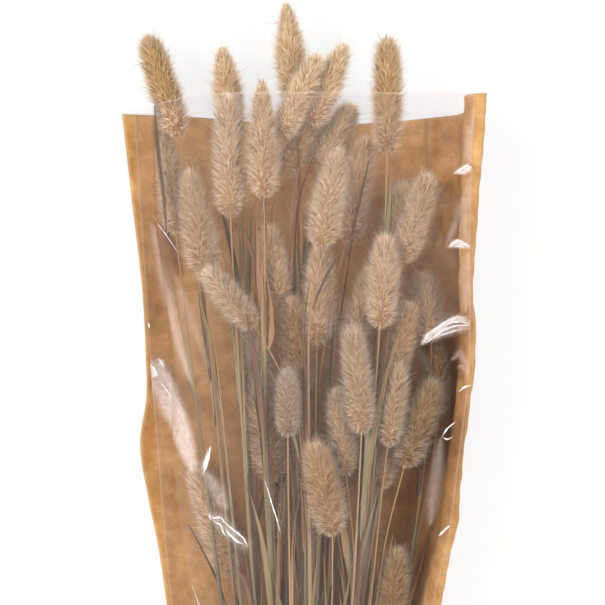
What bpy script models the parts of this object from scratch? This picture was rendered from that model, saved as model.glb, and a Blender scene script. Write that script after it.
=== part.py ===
"""Bundle of dried bunny tail grass in an open florist sleeve, lying on its back.

Forty cut stalks, each a thin stem with one soft egg-shaped head, and their
dried leaf blades are held by an elastic band near the cut ends. They lie in a
tapered sleeve with a kraft paper back and a clear film front, open at both
ends. Its paper back lies flat on the floor at Z = 0, the heads point along +Y
and +Z is up. Lengths in the tables are millimetres; the scene is in metres.
"""

import math

import bpy
import numpy as np

MM = 0.001

# Heads: tip x, tip y, base x, base y, height of the axis, radius of the fluff
HEADS = (
    (-77, 296, -62, 249, 26, 8.4),
    (-39, 291, -34, 253, 20, 7.7),
    (-35, 264, -34, 207, 37, 8.5),
    (-18, 270, -17, 216, 42, 8.0),
    (-6, 313, -2, 266, 22, 8.5),
    (10, 284, -9, 246, 36, 7.5),
    (23, 291, 6, 253, 30, 8.1),
    (14, 266, -8, 229, 16, 7.8),
    (27, 262, 11, 231, 16, 7.8),
    (45, 293, 45, 239, 36, 8.0),
    (35, 245, 26, 195, 20, 8.2),
    (-68, 247, -63, 199, 20, 6.4),
    (20, 237, 13, 191, 42, 8.5),
    (-55, 227, -47, 178, 34, 9.0),
    (-46, 177, -21, 151, 38, 7.2),
    (65, 224, 53, 184, 36, 7.7),
    (55, 221, 46, 184, 17, 7.7),
    (44, 193, 41, 151, 42, 8.0),
    (38, 178, 28, 143, 27, 7.2),
    (12, 189, 10, 142, 33, 8.1),
    (-4, 163, 4, 118, 28, 7.6),
    (27, 148, 32, 99, 44, 7.6),
    (20, 117, 24, 77, 34, 7.0),
    (8, 90, 17, 48, 40, 9.0),
    (57, 160, 48, 125, 26, 7.2),
    (50, 130, 45, 92, 37, 7.2),
    (45, 106, 41, 67, 22, 8.6),
    (69, 121, 54, 81, 34, 8.1),
    (50, 36, 45, -8, 31, 7.8),
    (-53, 75, -36, 22, 14, 9.0),
    (-21, 122, -13, 72, 22, 9.6),
    (-5, 127, -5, 97, 38, 6.0),
    (-3, 69, -4, 38, 18, 6.4),
    (-22, 152, -18, 116, 17, 6.8),
    (-15, 199, -11, 163, 27, 7.1),
    (65, 175, 69, 143, 15, 7.2),
    (71, 138, 73, 106, 14, 6.7),
    (21, -15, 20, -61, 27, 8.2),
    (-7, -1, 1, -47, 22, 8.2),
    (34, -53, 32, -99, 18, 7.7),
)
SOLID_SHARE = 0.8  # of the fluff's radius, which the closed head takes up
HEAD_OUTLINE = (  # share of the head's length from its base, share of its radius
    (0.06, 0.60),
    (0.20, 0.90),
    (0.46, 1.00),
    (0.74, 0.92),
    (0.92, 0.62),
    (1.00, 0.24),
)

# Stems
STEM_TOP_RADIUS = 0.7
STEM_RADIUS = 1.2
STEM_THICKENS_OVER = 170
STEM_POINT_STEP = 36
NOD_LENGTH = 26  # over which a stem turns from its head's lean to its own line
CUT_Y = -304
CUT_RAGGED = 8
STEM_SIDES_RESOLUTION = 2

# Leaf blades: stalk they grow on, base y, tip x, tip y, tip height, width, roll in degrees
LEAVES = (
    (3, 158, -18, 214, 32, 3.4, 20),
    (34, 138, -28, 202, 40, 3.2, 65),
    (3, 138, -16, 178, 44, 4.4, 30),
    (20, 92, -2, 160, 38, 4.8, 35),
    (10, 150, 36, 234, 32, 3.6, 70),
    (12, 158, 40, 208, 34, 2.6, 40),
    (19, 120, 25, 196, 46, 2.6, 60),
    (21, 60, 60, 166, 40, 4.6, 25),
    (14, 84, -37, 155, 30, 3.6, 55),
    (33, 78, -35, 136, 34, 3.6, 15),
    (29, -48, -57, 47, 14, 3.4, 60),
    (30, 12, -8, 76, 28, 3.4, 45),
    (32, -20, -1, 46, 34, 3.2, 20),
    (23, -32, 32, 55, 36, 3.8, 40),
    (22, 22, 6, 104, 32, 4.6, 10),
)
BLADE_THICK = 0.25
BLADE_STEPS = 8
BLADE_CREASE = 0.3  # depth of the fold along the middle, as a share of half the width
BLADE_TWIST = 70  # degrees from base to tip
BLADE_BASE_SHARE = 0.3
BLADE_FULLNESS = 0.8
BLADE_TIP_CUT = 0.5
BLADE_SWEEP = 1.7  # how late a blade bends away from its stem
BLADE_SEAT_SHARE = 0.75  # of the half width at its base, by which a rolled blade clears the stem
BLADE_FILL = 0.9  # of the round space kept for a blade, which it takes up

# Elastic band around the stems
TIE_Y = -270
TIE_X = 4
TIE_CORD_RADIUS = 1.0
TIE_GAP = 0.5
TIE_REACH = 12  # to each side of the band, where the stems stay inside its ring
TIE_HOLD = 40  # to each side of the band, where the stems keep to their places
TIE_POINTS = 32
SLOT_PITCH = 3.15  # between neighbouring stems inside the band
SLOT_ROWS = 6  # of the lattice, to each side of the middle
SLOT_MIDDLE = (0.31, 0.27)  # the band's middle between lattice points, as shares of the pitch
STEMS_A_COLUMN = 6

# Sleeve: place along y, and the value there
PAPER_LEFT = (
    (265, -93.2), (215, -87.5), (163, -81.5), (137, -80.2), (111, -79.8), (90, -83.0),
    (58, -78.6), (32, -73.4), (6, -69.7), (-90, -60.0), (-170, -50.0), (-233.5, -42.0),
)
PAPER_RIGHT = (
    (265, 93.2), (212, 89.3), (163, 86.8), (148, 87.8), (128, 87.2), (101, 83.6),
    (73, 80.9), (48, 79.1), (35, 76.1), (13, 72.6), (-90, 64.0), (-170, 54.0), (-233.5, 46.0),
)
FILM_LEFT = ((265, -87.1), (15, -68.2), (-90, -56.5), (-170, -46.5), (-233.5, -38.5))
FILM_RIGHT = (
    (265, 87.5), (228, 86.0), (190, 85.0), (129, 84.8), (79, 79.4), (45, 75.5),
    (10, 68.0), (-90, 60.0), (-170, 50.0), (-233.5, 42.0),
)
CREASE = (  # where the film leaves the paper on the left
    (265, -76.5), (200, -74.0), (150, -68.0), (110, -66.0), (75, -67.0), (20, -60.0),
    (-60, -49.0), (-150, -38.0), (-233.5, -30.0),
)
SHOULDER = ((265, 32), (190, 30), (120, 26), (50, 24), (-60, 18), (-233.5, 14))
CROWN = (
    (265, 52), (150, 55), (60, 53), (10, 47), (-60, 41), (-120, 35), (-180, 31), (-233.5, 29),
)
RIGHT_WALL = (
    (265, 50), (128, 48), (90, 46), (50, 42), (13, 36), (-60, 24), (-150, 12), (-233.5, 6),
)
PAPER_LIFT = ((265, 3.5), (90, 5.0), (0, 3.0), (-233.5, 2.0))
PAPER_MOUTH = (  # share across the sleeve, y of the paper's cut edge there
    (0.0, 261.0), (0.1, 260.5), (0.45, 255.5), (0.62, 257.5), (0.75, 260.5), (0.88, 263.5),
    (1.0, 265.0),
)
FILM_MOUTH = ((0.0, 261.5), (0.2, 262.5), (0.38, 264.5), (1.0, 264.5))
SLEEVE_FOOT_Y = -233.5
PAPER_THICK = 0.25
FILM_THICK = 0.15
SEAM_GAP = 0.5
MARGIN_EASE = 0.3  # by which the film lies a little looser on the wavy left margin
SEAM_OVERLAP = 2.6  # of the film on the paper's right edge
PAPER_COLUMNS = 26
PAPER_ROWS = 20
FILM_COLUMNS = 28
FILM_ROWS = 22
ROOM_COLUMNS = 80
WALL_STARTS = 3  # height from which the right wall bounds the room

# Laying the stalks side by side
LEVEL_STEP = 5  # along y, between the places where distances are kept
CLEARANCE = 0.7
LAY_STAGES = (  # rounds, evenness of a stalk's shift, pull back to the wanted place
    (300, 0.5, 0.02),
    (300, 0.25, 0.004),
    (300, 0.06, 0.0005),
)
LARGEST_PUSH = 1.2
PUSH_SHARE = 0.8  # of the needed move, made in one round
LEAST_WEIGHT = 0.35  # keeps a point from being thrown by a push far along its stretch
HEAD_HOLD = (0.6, 0.06)  # how firmly a head keeps its place across, and its height
TIE_HOLD_FIRM = 0.5
LEAF_TIP_HOLD = (0.25, 0.075)
HEAD_MOBILITY = 0.35  # against a stem's or a blade's 1
PROBES = (90, 60, 120, 30, 150, 180)  # degrees around a stalk where the film is felt
PROBE_GRID = 1.0
NEVER = 1e6


def smooth(table, at):
    """Value at the given places of a smooth curve through a table of (place, value)."""
    table = np.asarray(table, float)
    places, values = table[np.argsort(table[:, 0])].T
    slopes = np.gradient(values, places)
    at = np.clip(np.asarray(at, float), places[0], places[-1])
    k = np.clip(np.searchsorted(places, at, side="right") - 1, 0, len(places) - 2)
    width = places[k + 1] - places[k]
    t = (at - places[k]) / width
    start = values[k] * (2 * t**3 - 3 * t**2 + 1) + slopes[k] * width * (t**3 - 2 * t**2 + t)
    end = values[k + 1] * (3 * t**2 - 2 * t**3) + slopes[k + 1] * width * (t**3 - t**2)
    return start + end


def section_through(points, count):
    """Points evenly along a smooth curve through the given (x, z) points."""
    points = np.array(points, float)
    along = np.concatenate([[0], np.cumsum(np.hypot(*np.diff(points, axis=0).T))])
    at = np.linspace(0, along[-1], count)
    x = smooth(np.column_stack([along, points[:, 0]]), at)
    z = smooth(np.column_stack([along, points[:, 1]]), at)
    return x, z


def paper_section(y, count=PAPER_COLUMNS):
    """Lower face of the paper across the sleeve at y: flat, with a lifted left margin and a right wall."""
    left, right = smooth(PAPER_LEFT, y), smooth(PAPER_RIGHT, y)
    lift, wall = smooth(PAPER_LIFT, y), smooth(RIGHT_WALL, y)
    top = smooth(FILM_RIGHT, y) - SEAM_OVERLAP
    foot = top + 0.8 - 0.55 * (smooth(RIGHT_WALL, 265) - wall)
    points = (
        (left, lift),
        (left + 7, 0.35 * lift),
        (left + 15, 0),
        (0.6 * left + 0.4 * foot, 0),
        (0.3 * left + 0.7 * foot, 0),
        (foot - 9, 0),
        (foot - 1.5, 0.04 * wall),
        (0.5 * (foot + top) + 0.8, 0.5 * wall),
        (top, wall - 1.6),
        (top + 1.2, wall - 0.2),
        (right, wall),
    )
    x, z = section_through(points, count)
    return x, np.maximum(z, 0)


def paper_top_at(x, y):
    """Height of the paper's upper face at x, right wall aside."""
    across, height = paper_section(y, ROOM_COLUMNS)
    return np.interp(x, across, height) + PAPER_THICK


def film_section(y, count=FILM_COLUMNS):
    """Lower face of the film across the sleeve at y: on the left margin, up over the heads, down to the wall."""
    left, right = smooth(FILM_LEFT, y), smooth(FILM_RIGHT, y)
    crease, shoulder = smooth(CREASE, y), smooth(SHOULDER, y)
    crown, wall = smooth(CROWN, y), smooth(RIGHT_WALL, y)
    top = right - SEAM_OVERLAP
    span = top - crease
    middle = 0.5 * (left + crease)
    points = (
        (left, paper_top_at(left, y) + SEAM_GAP + MARGIN_EASE),
        (middle, paper_top_at(middle, y) + SEAM_GAP + MARGIN_EASE),
        (crease - 1.5, paper_top_at(crease - 1.5, y) + SEAM_GAP + MARGIN_EASE),
        (crease + 0.6, 0.35 * shoulder),
        (crease + 2.5, 0.75 * shoulder),
        (crease + 0.07 * span, shoulder + 0.3 * (crown - shoulder)),
        (crease + 0.2 * span, crown - 2.5),
        (crease + 0.5 * span, crown),
        (top - 0.22 * span, wall + 0.9 * (crown - wall)),
        (top - 0.05 * span, wall + 0.35 * (crown - wall) + 1.6),
        (top + 1.0, wall + PAPER_THICK + SEAM_GAP + 0.1),
        (right, wall + PAPER_THICK + SEAM_GAP),
    )
    return section_through(points, count)


def stem_radius(below_head):
    """Radius of a stem at a distance below its head."""
    share = np.clip(np.asarray(below_head, float) / STEM_THICKENS_OVER, 0, 1)
    return STEM_TOP_RADIUS + (STEM_RADIUS - STEM_TOP_RADIUS) * share


def tie_slots(count):
    """Places of the stems inside the band, on a hexagonal lattice, and the radius around them."""
    lattice = [
        ((column + 0.5 * (row % 2)) * SLOT_PITCH, row * SLOT_PITCH * math.sqrt(0.75))
        for row in range(-SLOT_ROWS, SLOT_ROWS + 1)
        for column in range(-SLOT_ROWS, SLOT_ROWS + 1)
    ]
    middle_x, middle_z = SLOT_MIDDLE[0] * SLOT_PITCH, SLOT_MIDDLE[1] * SLOT_PITCH
    near = sorted((math.hypot(x - middle_x, z - middle_z), x, z) for x, z in lattice)[:count]
    around = near[-1][0] + STEM_RADIUS
    centre_z = 2 * TIE_CORD_RADIUS + TIE_GAP + around
    slots = [(TIE_X + x - middle_x, centre_z + z - middle_z) for _, x, z in near]
    return slots, around, centre_z


def slots_in_order(slots):
    """One slot for each head: columns from left to right, and within a column from low to high."""
    heads = sorted(range(len(HEADS)), key=lambda i: HEADS[i][2])
    columns = sorted(range(len(slots)), key=lambda k: slots[k][0])
    chosen = {}
    for start in range(0, len(HEADS), STEMS_A_COLUMN):
        stalks = sorted(heads[start : start + STEMS_A_COLUMN], key=lambda i: HEADS[i][4])
        places = sorted(columns[start : start + STEMS_A_COLUMN], key=lambda k: slots[k][1])
        chosen.update(zip(stalks, places))
    return [slots[chosen[i]] for i in range(len(HEADS))]


def stalk_chain(index, slot):
    """One stalk as points from the head's tip down to the cut end, with what is needed to lay it."""
    tip_x, tip_y, base_x, base_y, height, fluff = HEADS[index]
    cut_y = CUT_Y + CUT_RAGGED * math.sin(2.4 * index)
    stem_y = np.linspace(base_y, cut_y, round((base_y - cut_y) / STEM_POINT_STEP) + 1)
    below = base_y - stem_y
    to_tie = base_y - TIE_Y
    lean = (base_x - tip_x) / (tip_y - base_y)
    line = (slot[0] - base_x) / to_tie
    nod = (lean - line) * NOD_LENGTH
    along = np.clip(below / to_tie, 0, 1)
    x = base_x + line * below + nod * (1 - np.exp(-below / NOD_LENGTH)) * (1 - along)
    x = np.where(stem_y < TIE_Y, slot[0], x)
    z = height + (slot[1] - height) * along
    held = np.where(abs(stem_y[1:] - TIE_Y) < TIE_HOLD, TIE_HOLD_FIRM, 0)
    outline_y = [base_y + (tip_y - base_y) * share for share, _ in reversed(HEAD_OUTLINE)]
    outline_radius = [SOLID_SHARE * fluff * share for _, share in reversed(HEAD_OUTLINE)]
    return {
        "y": np.concatenate([[tip_y], stem_y]),
        "x": np.concatenate([[tip_x], x]),
        "z": np.concatenate([[height], z]),
        "hold_x": np.concatenate([[HEAD_HOLD[0], HEAD_HOLD[0]], held]),
        "hold_z": np.concatenate([[HEAD_HOLD[1], HEAD_HOLD[1]], held]),
        "radius_y": np.concatenate([outline_y, stem_y]),
        "radius": np.concatenate([outline_radius, stem_radius(below)]),
        "slant": math.hypot(tip_x - base_x, tip_y - base_y) / (tip_y - base_y),
        "head_base": base_y,
        "parent": None,
    }


def blade_half_width(width, along):
    """Half the width of a blade at shares of its length: narrow at the base, pointed at the tip."""
    swell = np.sin(math.pi * np.asarray(along, float) ** BLADE_FULLNESS) ** BLADE_FULLNESS
    half = 0.5 * width * (BLADE_BASE_SHARE + (1 - BLADE_BASE_SHARE) * swell)
    return np.maximum(half * (1 - BLADE_TIP_CUT * np.asarray(along, float) ** 6), BLADE_THICK)


def leaf_chain(leaf, stalks):
    """One blade as points from its tip down to its base beside the stem that it grows on."""
    parent, base_y, tip_x, tip_y, tip_z, width, _ = leaf
    stalk = stalks[parent]
    y = np.linspace(tip_y, base_y, BLADE_STEPS)
    along = (y - base_y) / (tip_y - base_y)
    beside_x = np.interp(y, stalk["y"][::-1], stalk["x"][::-1])
    beside_z = np.interp(y, stalk["y"][::-1], stalk["z"][::-1])
    side = 1 if tip_x > beside_x[0] else -1
    half = blade_half_width(width, along)
    gap = stem_radius(stalk["head_base"] - base_y) + SEAM_GAP + BLADE_SEAT_SHARE * half[-1]
    hold = along > 1 - 1 / BLADE_STEPS
    return {
        "y": y,
        "x": beside_x + side * gap * (1 - along) + (tip_x - beside_x[0]) * along**BLADE_SWEEP,
        "z": beside_z + (tip_z - beside_z[0]) * along**BLADE_SWEEP,
        "hold_x": LEAF_TIP_HOLD[0] * hold,
        "hold_z": LEAF_TIP_HOLD[1] * hold,
        "radius_y": y,
        "radius": half,
        "slant": 1.0,
        "head_base": NEVER,
        "parent": (parent, side * gap),
    }


class Layout:
    """All chains as arrays, and where each of them passes every level along the bundle."""

    def __init__(self, chains, around, centre_z):
        self.chains, self.around, self.centre_z = chains, around, centre_z
        count, most = len(chains), max(len(chain["y"]) for chain in chains)
        lowest = min(chain["y"][-1] for chain in chains) - LEVEL_STEP
        highest = max(chain["y"][0] for chain in chains) + LEVEL_STEP
        self.levels = np.arange(lowest, highest, LEVEL_STEP)
        self.wanted = np.zeros((count, most, 2))
        self.hold = np.zeros((count, most, 2))
        self.even = np.zeros((count, most), bool)
        self.upper = np.zeros((count, len(self.levels)), int)
        self.share = np.zeros((count, len(self.levels)))
        self.radius = np.zeros((count, len(self.levels)))
        self.there = np.zeros((count, len(self.levels)), bool)
        for i, chain in enumerate(chains):
            self.add(i, chain)
        self.place = self.wanted.copy()
        self.row = np.arange(count)[:, None]
        head_base = np.array([chain["head_base"] for chain in chains])[:, None]
        mobility = np.where(self.levels[None, :] > head_base, HEAD_MOBILITY, 1.0)
        self.moved_share = mobility[:, None, :] / (mobility[:, None, :] + mobility[None, :, :])
        apart = ~np.eye(count, dtype=bool)[:, :, None]
        self.both = self.there[:, None, :] & self.there[None, :, :] & apart
        self.need = self.radius[:, None, :] + self.radius[None, :, :] + CLEARANCE
        self.in_tie = np.abs(self.levels - TIE_Y) < TIE_REACH
        self.measure_room()

    def add(self, i, chain):
        """Puts one chain's points, and what it is at every level, into row i."""
        y, n = chain["y"], len(chain["y"])
        self.wanted[i, :n] = np.column_stack([chain["x"], chain["z"]])
        self.hold[i, :n] = np.column_stack([chain["hold_x"], chain["hold_z"]])
        self.even[i, 1 : n - 1] = True
        self.even[i, 1] = chain["head_base"] == NEVER
        k = np.clip(np.searchsorted(-y, -self.levels, side="right") - 1, 0, n - 2)
        self.upper[i] = k
        self.share[i] = np.clip((y[k] - self.levels) / (y[k] - y[k + 1]), 0, 1)
        self.there[i] = (self.levels <= y[0]) & (self.levels >= y[-1])
        self.radius[i] = np.interp(self.levels, chain["radius_y"][::-1], chain["radius"][::-1])
        self.radius[i] *= np.where(self.levels > chain["head_base"], chain["slant"], 1.0)

    def measure_room(self):
        """The room in the sleeve at every level: under the film, over the paper, inside the right wall."""
        self.grid = np.arange(PAPER_LEFT[0][1] - 10, PAPER_RIGHT[0][1] + 10, PROBE_GRID)
        self.ceiling = np.full((len(self.levels), len(self.grid)), NEVER)
        self.floor = np.zeros(len(self.levels))
        self.right = np.full(len(self.levels), NEVER)
        for k, y in enumerate(self.levels):
            if SLEEVE_FOOT_Y - LEVEL_STEP < y < PAPER_LEFT[0][0] + 1:
                x, z = film_section(y, ROOM_COLUMNS)
                self.ceiling[k] = np.interp(self.grid, x, z, left=0, right=z[-1])
                x, z = paper_section(y, ROOM_COLUMNS)
                self.right[k] = x[(z > WALL_STARTS) & (x > 0)].min() - PAPER_THICK
                self.floor[k] = PAPER_THICK

    def pushes(self, here):
        """How each chain is pushed at every level by its neighbours, the band, the film and the paper."""
        between = here[:, None] - here[None, :]
        distance = np.sqrt((between**2).sum(-1)) + 1e-9
        short = np.where(self.both, self.need - distance, 0).clip(0, LARGEST_PUSH)
        push = (between * (short * self.moved_share / distance)[..., None]).sum(1)
        x, z = here[..., 0], here[..., 1]
        from_middle = here - np.array([TIE_X, self.centre_z])
        off_middle = np.sqrt((from_middle**2).sum(-1)) + 1e-9
        outside = np.where(self.in_tie[None, :], off_middle + self.radius - self.around, 0)
        push -= from_middle * (outside.clip(0, LARGEST_PUSH) / off_middle)[..., None]
        low = self.floor[None, :] + self.radius + CLEARANCE - z
        push[..., 1] += low.clip(0, LARGEST_PUSH)
        wide = x + self.radius + CLEARANCE - self.right[None, :]
        push[..., 0] -= wide.clip(0, LARGEST_PUSH)
        level = np.arange(len(self.levels))[None, :]
        for angle in np.radians(PROBES):
            probe = (x + self.radius * math.cos(angle) - self.grid[0]) / PROBE_GRID
            column = np.clip(np.round(probe).astype(int), 0, len(self.grid) - 1)
            high = z + self.radius * math.sin(angle) + CLEARANCE - self.ceiling[level, column]
            high = high.clip(0, LARGEST_PUSH)
            push[..., 0] -= high * math.cos(angle)
            push[..., 1] -= high * math.sin(angle)
        return np.where(self.there[..., None], push, 0)

    def move(self, push):
        """Shares each push out to the two points of its chain that it lies between."""
        touched = np.abs(push).sum(-1) > 0
        moved = np.zeros_like(self.place)
        weight = np.zeros(self.place.shape[:2])
        for k, share in ((self.upper, 1 - self.share), (self.upper + 1, self.share)):
            share = share * touched
            rows = np.broadcast_to(self.row, k.shape)
            np.add.at(moved, (rows, k), push * share[..., None])
            np.add.at(weight, (rows, k), share)
        self.place += PUSH_SHARE * moved / np.maximum(weight, LEAST_WEIGHT)[..., None]

    def even_out(self, evenness, pull):
        """Keeps each chain's shift from its wanted line smooth and small, and its held points near."""
        shift = self.place - self.wanted
        uneven = 0.5 * (shift[:, :-2] + shift[:, 2:]) - shift[:, 1:-1]
        shift[:, 1:-1] += np.where(self.even[:, 1:-1, None], evenness * uneven, 0)
        held_pull = self.hold * min(1.0, 8 * pull + 0.02)
        shift *= 1 - np.where(self.hold > 0, held_pull, pull)
        self.place = self.wanted + shift

    def seat_blades(self):
        """Puts the base of each blade beside its stem."""
        for i, chain in enumerate(self.chains):
            if chain["parent"]:
                parent, offset = chain["parent"]
                y = self.chains[parent]["y"]
                stem = self.place[parent, : len(y)]
                base_y, last = chain["y"][-1], len(chain["y"]) - 1
                self.place[i, last, 0] = np.interp(base_y, y[::-1], stem[::-1, 0]) + offset
                self.place[i, last, 1] = np.interp(base_y, y[::-1], stem[::-1, 1])

    def settle(self):
        """Moves the chains across the bundle until none of them touches another, the paper or the film."""
        for rounds, evenness, pull in LAY_STAGES:
            for _ in range(rounds):
                upper, lower = self.place[self.row, self.upper], self.place[self.row, self.upper + 1]
                here = upper + (lower - upper) * self.share[..., None]
                self.move(self.pushes(here))
                self.even_out(evenness, pull)
                self.seat_blades()
                self.place = np.round(self.place, 7)
        for chain, place in zip(self.chains, self.place):
            chain["x"], chain["z"] = place[: len(chain["y"])].T


def material(name, colour, roughness, alpha=1.0):
    made = bpy.data.materials.new(name)
    made.use_nodes = True
    shader = made.node_tree.nodes["Principled BSDF"]
    shader.inputs["Base Color"].default_value = (*colour, 1.0)
    shader.inputs["Roughness"].default_value = roughness
    shader.inputs["Metallic"].default_value = 0.0
    shader.inputs["Alpha"].default_value = alpha
    return made


def add_object(name, data, paint, collection):
    made = bpy.data.objects.new(name, data)
    data.materials.append(paint)
    collection.objects.link(made)
    return made


def tube(name, points, radii, paint, collection, cyclic=False):
    """A round solid along the points, in millimetres, with a radius at each."""
    curve = bpy.data.curves.new(name, "CURVE")
    curve.dimensions = "3D"
    curve.bevel_depth = MM
    curve.bevel_resolution = STEM_SIDES_RESOLUTION
    curve.use_fill_caps = not cyclic
    spline = curve.splines.new("POLY")
    spline.points.add(len(points) - 1)
    for point, at, radius in zip(spline.points, points, radii):
        point.co = (at[0] * MM, at[1] * MM, at[2] * MM, 1.0)
        point.radius = radius
    spline.use_cyclic_u = cyclic
    return add_object(name, curve, paint, collection)


def sheet(name, rows, thickness, paint, collection):
    """A thin solid on a grid of points, in millimetres: rows of equally many (x, y, z)."""
    rows = np.asarray(rows, float) * MM
    height, width = rows.shape[:2]
    corner = np.arange((height - 1) * width).reshape(height - 1, width)[:, :-1].ravel()
    faces = np.column_stack([corner, corner + 1, corner + width + 1, corner + width])
    mesh = bpy.data.meshes.new(name)
    mesh.from_pydata(rows.reshape(-1, 3).tolist(), [], faces.tolist())
    made = add_object(name, mesh, paint, collection)
    solidify = made.modifiers.new("Thickness", "SOLIDIFY")
    solidify.thickness = thickness * MM
    solidify.offset = 1.0
    return made


def sleeve_rows(section, mouth, row_count, column_count):
    """Rows of a sleeve panel from its foot to its mouth, so that its faces look up."""
    across = np.linspace(0, 1, column_count)
    mouth_y = smooth(mouth, across)
    rows = []
    for share in np.linspace(0, 1, row_count):
        y = SLEEVE_FOOT_Y + (mouth_y - SLEEVE_FOOT_Y) * share
        x, z = np.transpose([np.array(section(level, column_count))[:, k] for k, level in enumerate(y)])
        rows.append(np.column_stack([x, y, z]))
    return rows


def add_stalk(index, chain, paint, collection):
    """Stem and head in one: the head's outline above its base, the stem's points below."""
    fluff = HEADS[index][5] * SOLID_SHARE
    tip = np.array([chain["x"][0], chain["y"][0], chain["z"][0]])
    base = np.array([chain["x"][1], chain["y"][1], chain["z"][1]])
    points, radii = [], []
    for share, size in reversed(HEAD_OUTLINE):
        points.append(base + (tip - base) * share)
        radii.append(fluff * size)
    for x, y, z in zip(chain["x"][1:], chain["y"][1:], chain["z"][1:]):
        points.append((x, y, z))
        radii.append(stem_radius(chain["head_base"] - y))
    tube(f"stalk_{index + 1:02d}", points, radii, paint, collection)


def add_leaf(index, leaf, chain, paint, collection):
    """A creased blade that narrows to both ends and turns about its own length."""
    x, y, z = chain["x"][::-1], chain["y"][::-1], chain["z"][::-1]
    centre = np.column_stack([x, y, z])
    ahead = np.gradient(centre, axis=0)
    ahead /= np.linalg.norm(ahead, axis=1)[:, None]
    across = np.cross(ahead, (0, 0, 1))
    across /= np.linalg.norm(across, axis=1)[:, None]
    up = np.cross(across, ahead)
    roll = np.radians(leaf[6] + BLADE_TWIST * np.linspace(0, 1, len(y)))[:, None]
    side = across * np.cos(roll) + up * np.sin(roll)
    face = up * np.cos(roll) - across * np.sin(roll)
    half = BLADE_FILL * chain["radius"][::-1][:, None]
    rows = [
        [c - s * h, c - f * BLADE_CREASE * h, c + s * h]
        for c, s, f, h in zip(centre, side, face, half)
    ]
    sheet(f"leaf_blade_{index + 1:02d}", rows, BLADE_THICK, paint, collection)


def add_tie(around, centre_z, paint, collection):
    """The elastic band, a closed ring around the stems."""
    radius = around + TIE_GAP + TIE_CORD_RADIUS
    turns = np.linspace(0, 2 * math.pi, TIE_POINTS, endpoint=False)
    points = [(TIE_X + radius * math.cos(a), TIE_Y, centre_z + radius * math.sin(a)) for a in turns]
    tube("stem_tie", points, [TIE_CORD_RADIUS] * TIE_POINTS, paint, collection, cyclic=True)


def main():
    for obj in list(bpy.data.objects):
        bpy.data.objects.remove(obj, do_unlink=True)
    collection = bpy.data.collections.new("bunny_tail_grass_bundle")
    bpy.context.scene.collection.children.link(collection)

    paper = material("kraft_paper", (0.50, 0.29, 0.13), 0.75)
    film = material("clear_film", (0.92, 0.92, 0.95), 0.12, alpha=0.25)
    grass = material("dried_stalk", (0.56, 0.42, 0.27), 0.9)
    leaf_paint = material("dried_leaf", (0.33, 0.27, 0.17), 0.8)
    band = material("elastic_band", (0.62, 0.45, 0.22), 0.6)

    slots, around, centre_z = tie_slots(len(HEADS))
    stalks = [stalk_chain(i, slot) for i, slot in enumerate(slots_in_order(slots))]
    blades = [leaf_chain(leaf, stalks) for leaf in LEAVES]
    Layout(stalks + blades, around, centre_z).settle()

    paper_rows = sleeve_rows(paper_section, PAPER_MOUTH, PAPER_ROWS, PAPER_COLUMNS)
    film_rows = sleeve_rows(film_section, FILM_MOUTH, FILM_ROWS, FILM_COLUMNS)
    sheet("sleeve_back", paper_rows, PAPER_THICK, paper, collection)
    sheet("sleeve_front", film_rows, FILM_THICK, film, collection)
    for i, chain in enumerate(stalks):
        add_stalk(i, chain, grass, collection)
    for i, (leaf, chain) in enumerate(zip(LEAVES, blades)):
        add_leaf(i, leaf, chain, leaf_paint, collection)
    add_tie(around, centre_z, band, collection)


main()
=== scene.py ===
"""Looks of the bundle of dried bunny tail grass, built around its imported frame.

Shapes are worked out in millimetres, as whole arrays, and put into meshes in metres. Stalks and
leaf blades follow the frame's own solids, which are read by cutting them with level planes, and
the sleeve repeats the section curves of the part's source. The paper back lies on the floor, the
heads point along +Y and the camera looks straight down.
"""

import math

import bpy
import numpy as np
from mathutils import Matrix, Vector


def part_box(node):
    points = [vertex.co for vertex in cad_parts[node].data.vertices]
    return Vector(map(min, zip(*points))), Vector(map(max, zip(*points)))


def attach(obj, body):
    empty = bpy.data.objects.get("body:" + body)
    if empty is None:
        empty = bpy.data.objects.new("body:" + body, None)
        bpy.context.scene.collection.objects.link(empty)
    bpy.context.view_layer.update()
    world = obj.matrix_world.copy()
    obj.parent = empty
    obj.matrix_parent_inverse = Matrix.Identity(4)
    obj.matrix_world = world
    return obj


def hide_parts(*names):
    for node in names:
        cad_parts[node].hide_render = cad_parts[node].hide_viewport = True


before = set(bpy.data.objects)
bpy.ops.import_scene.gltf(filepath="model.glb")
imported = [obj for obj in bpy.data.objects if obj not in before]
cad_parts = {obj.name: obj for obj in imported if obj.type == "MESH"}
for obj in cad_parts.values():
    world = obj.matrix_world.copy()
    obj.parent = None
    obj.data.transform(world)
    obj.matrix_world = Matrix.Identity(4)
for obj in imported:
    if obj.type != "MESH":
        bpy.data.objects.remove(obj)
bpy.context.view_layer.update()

MM = 0.001
BAKE_MAP = "OFBake"
BODY = "root"

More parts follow.
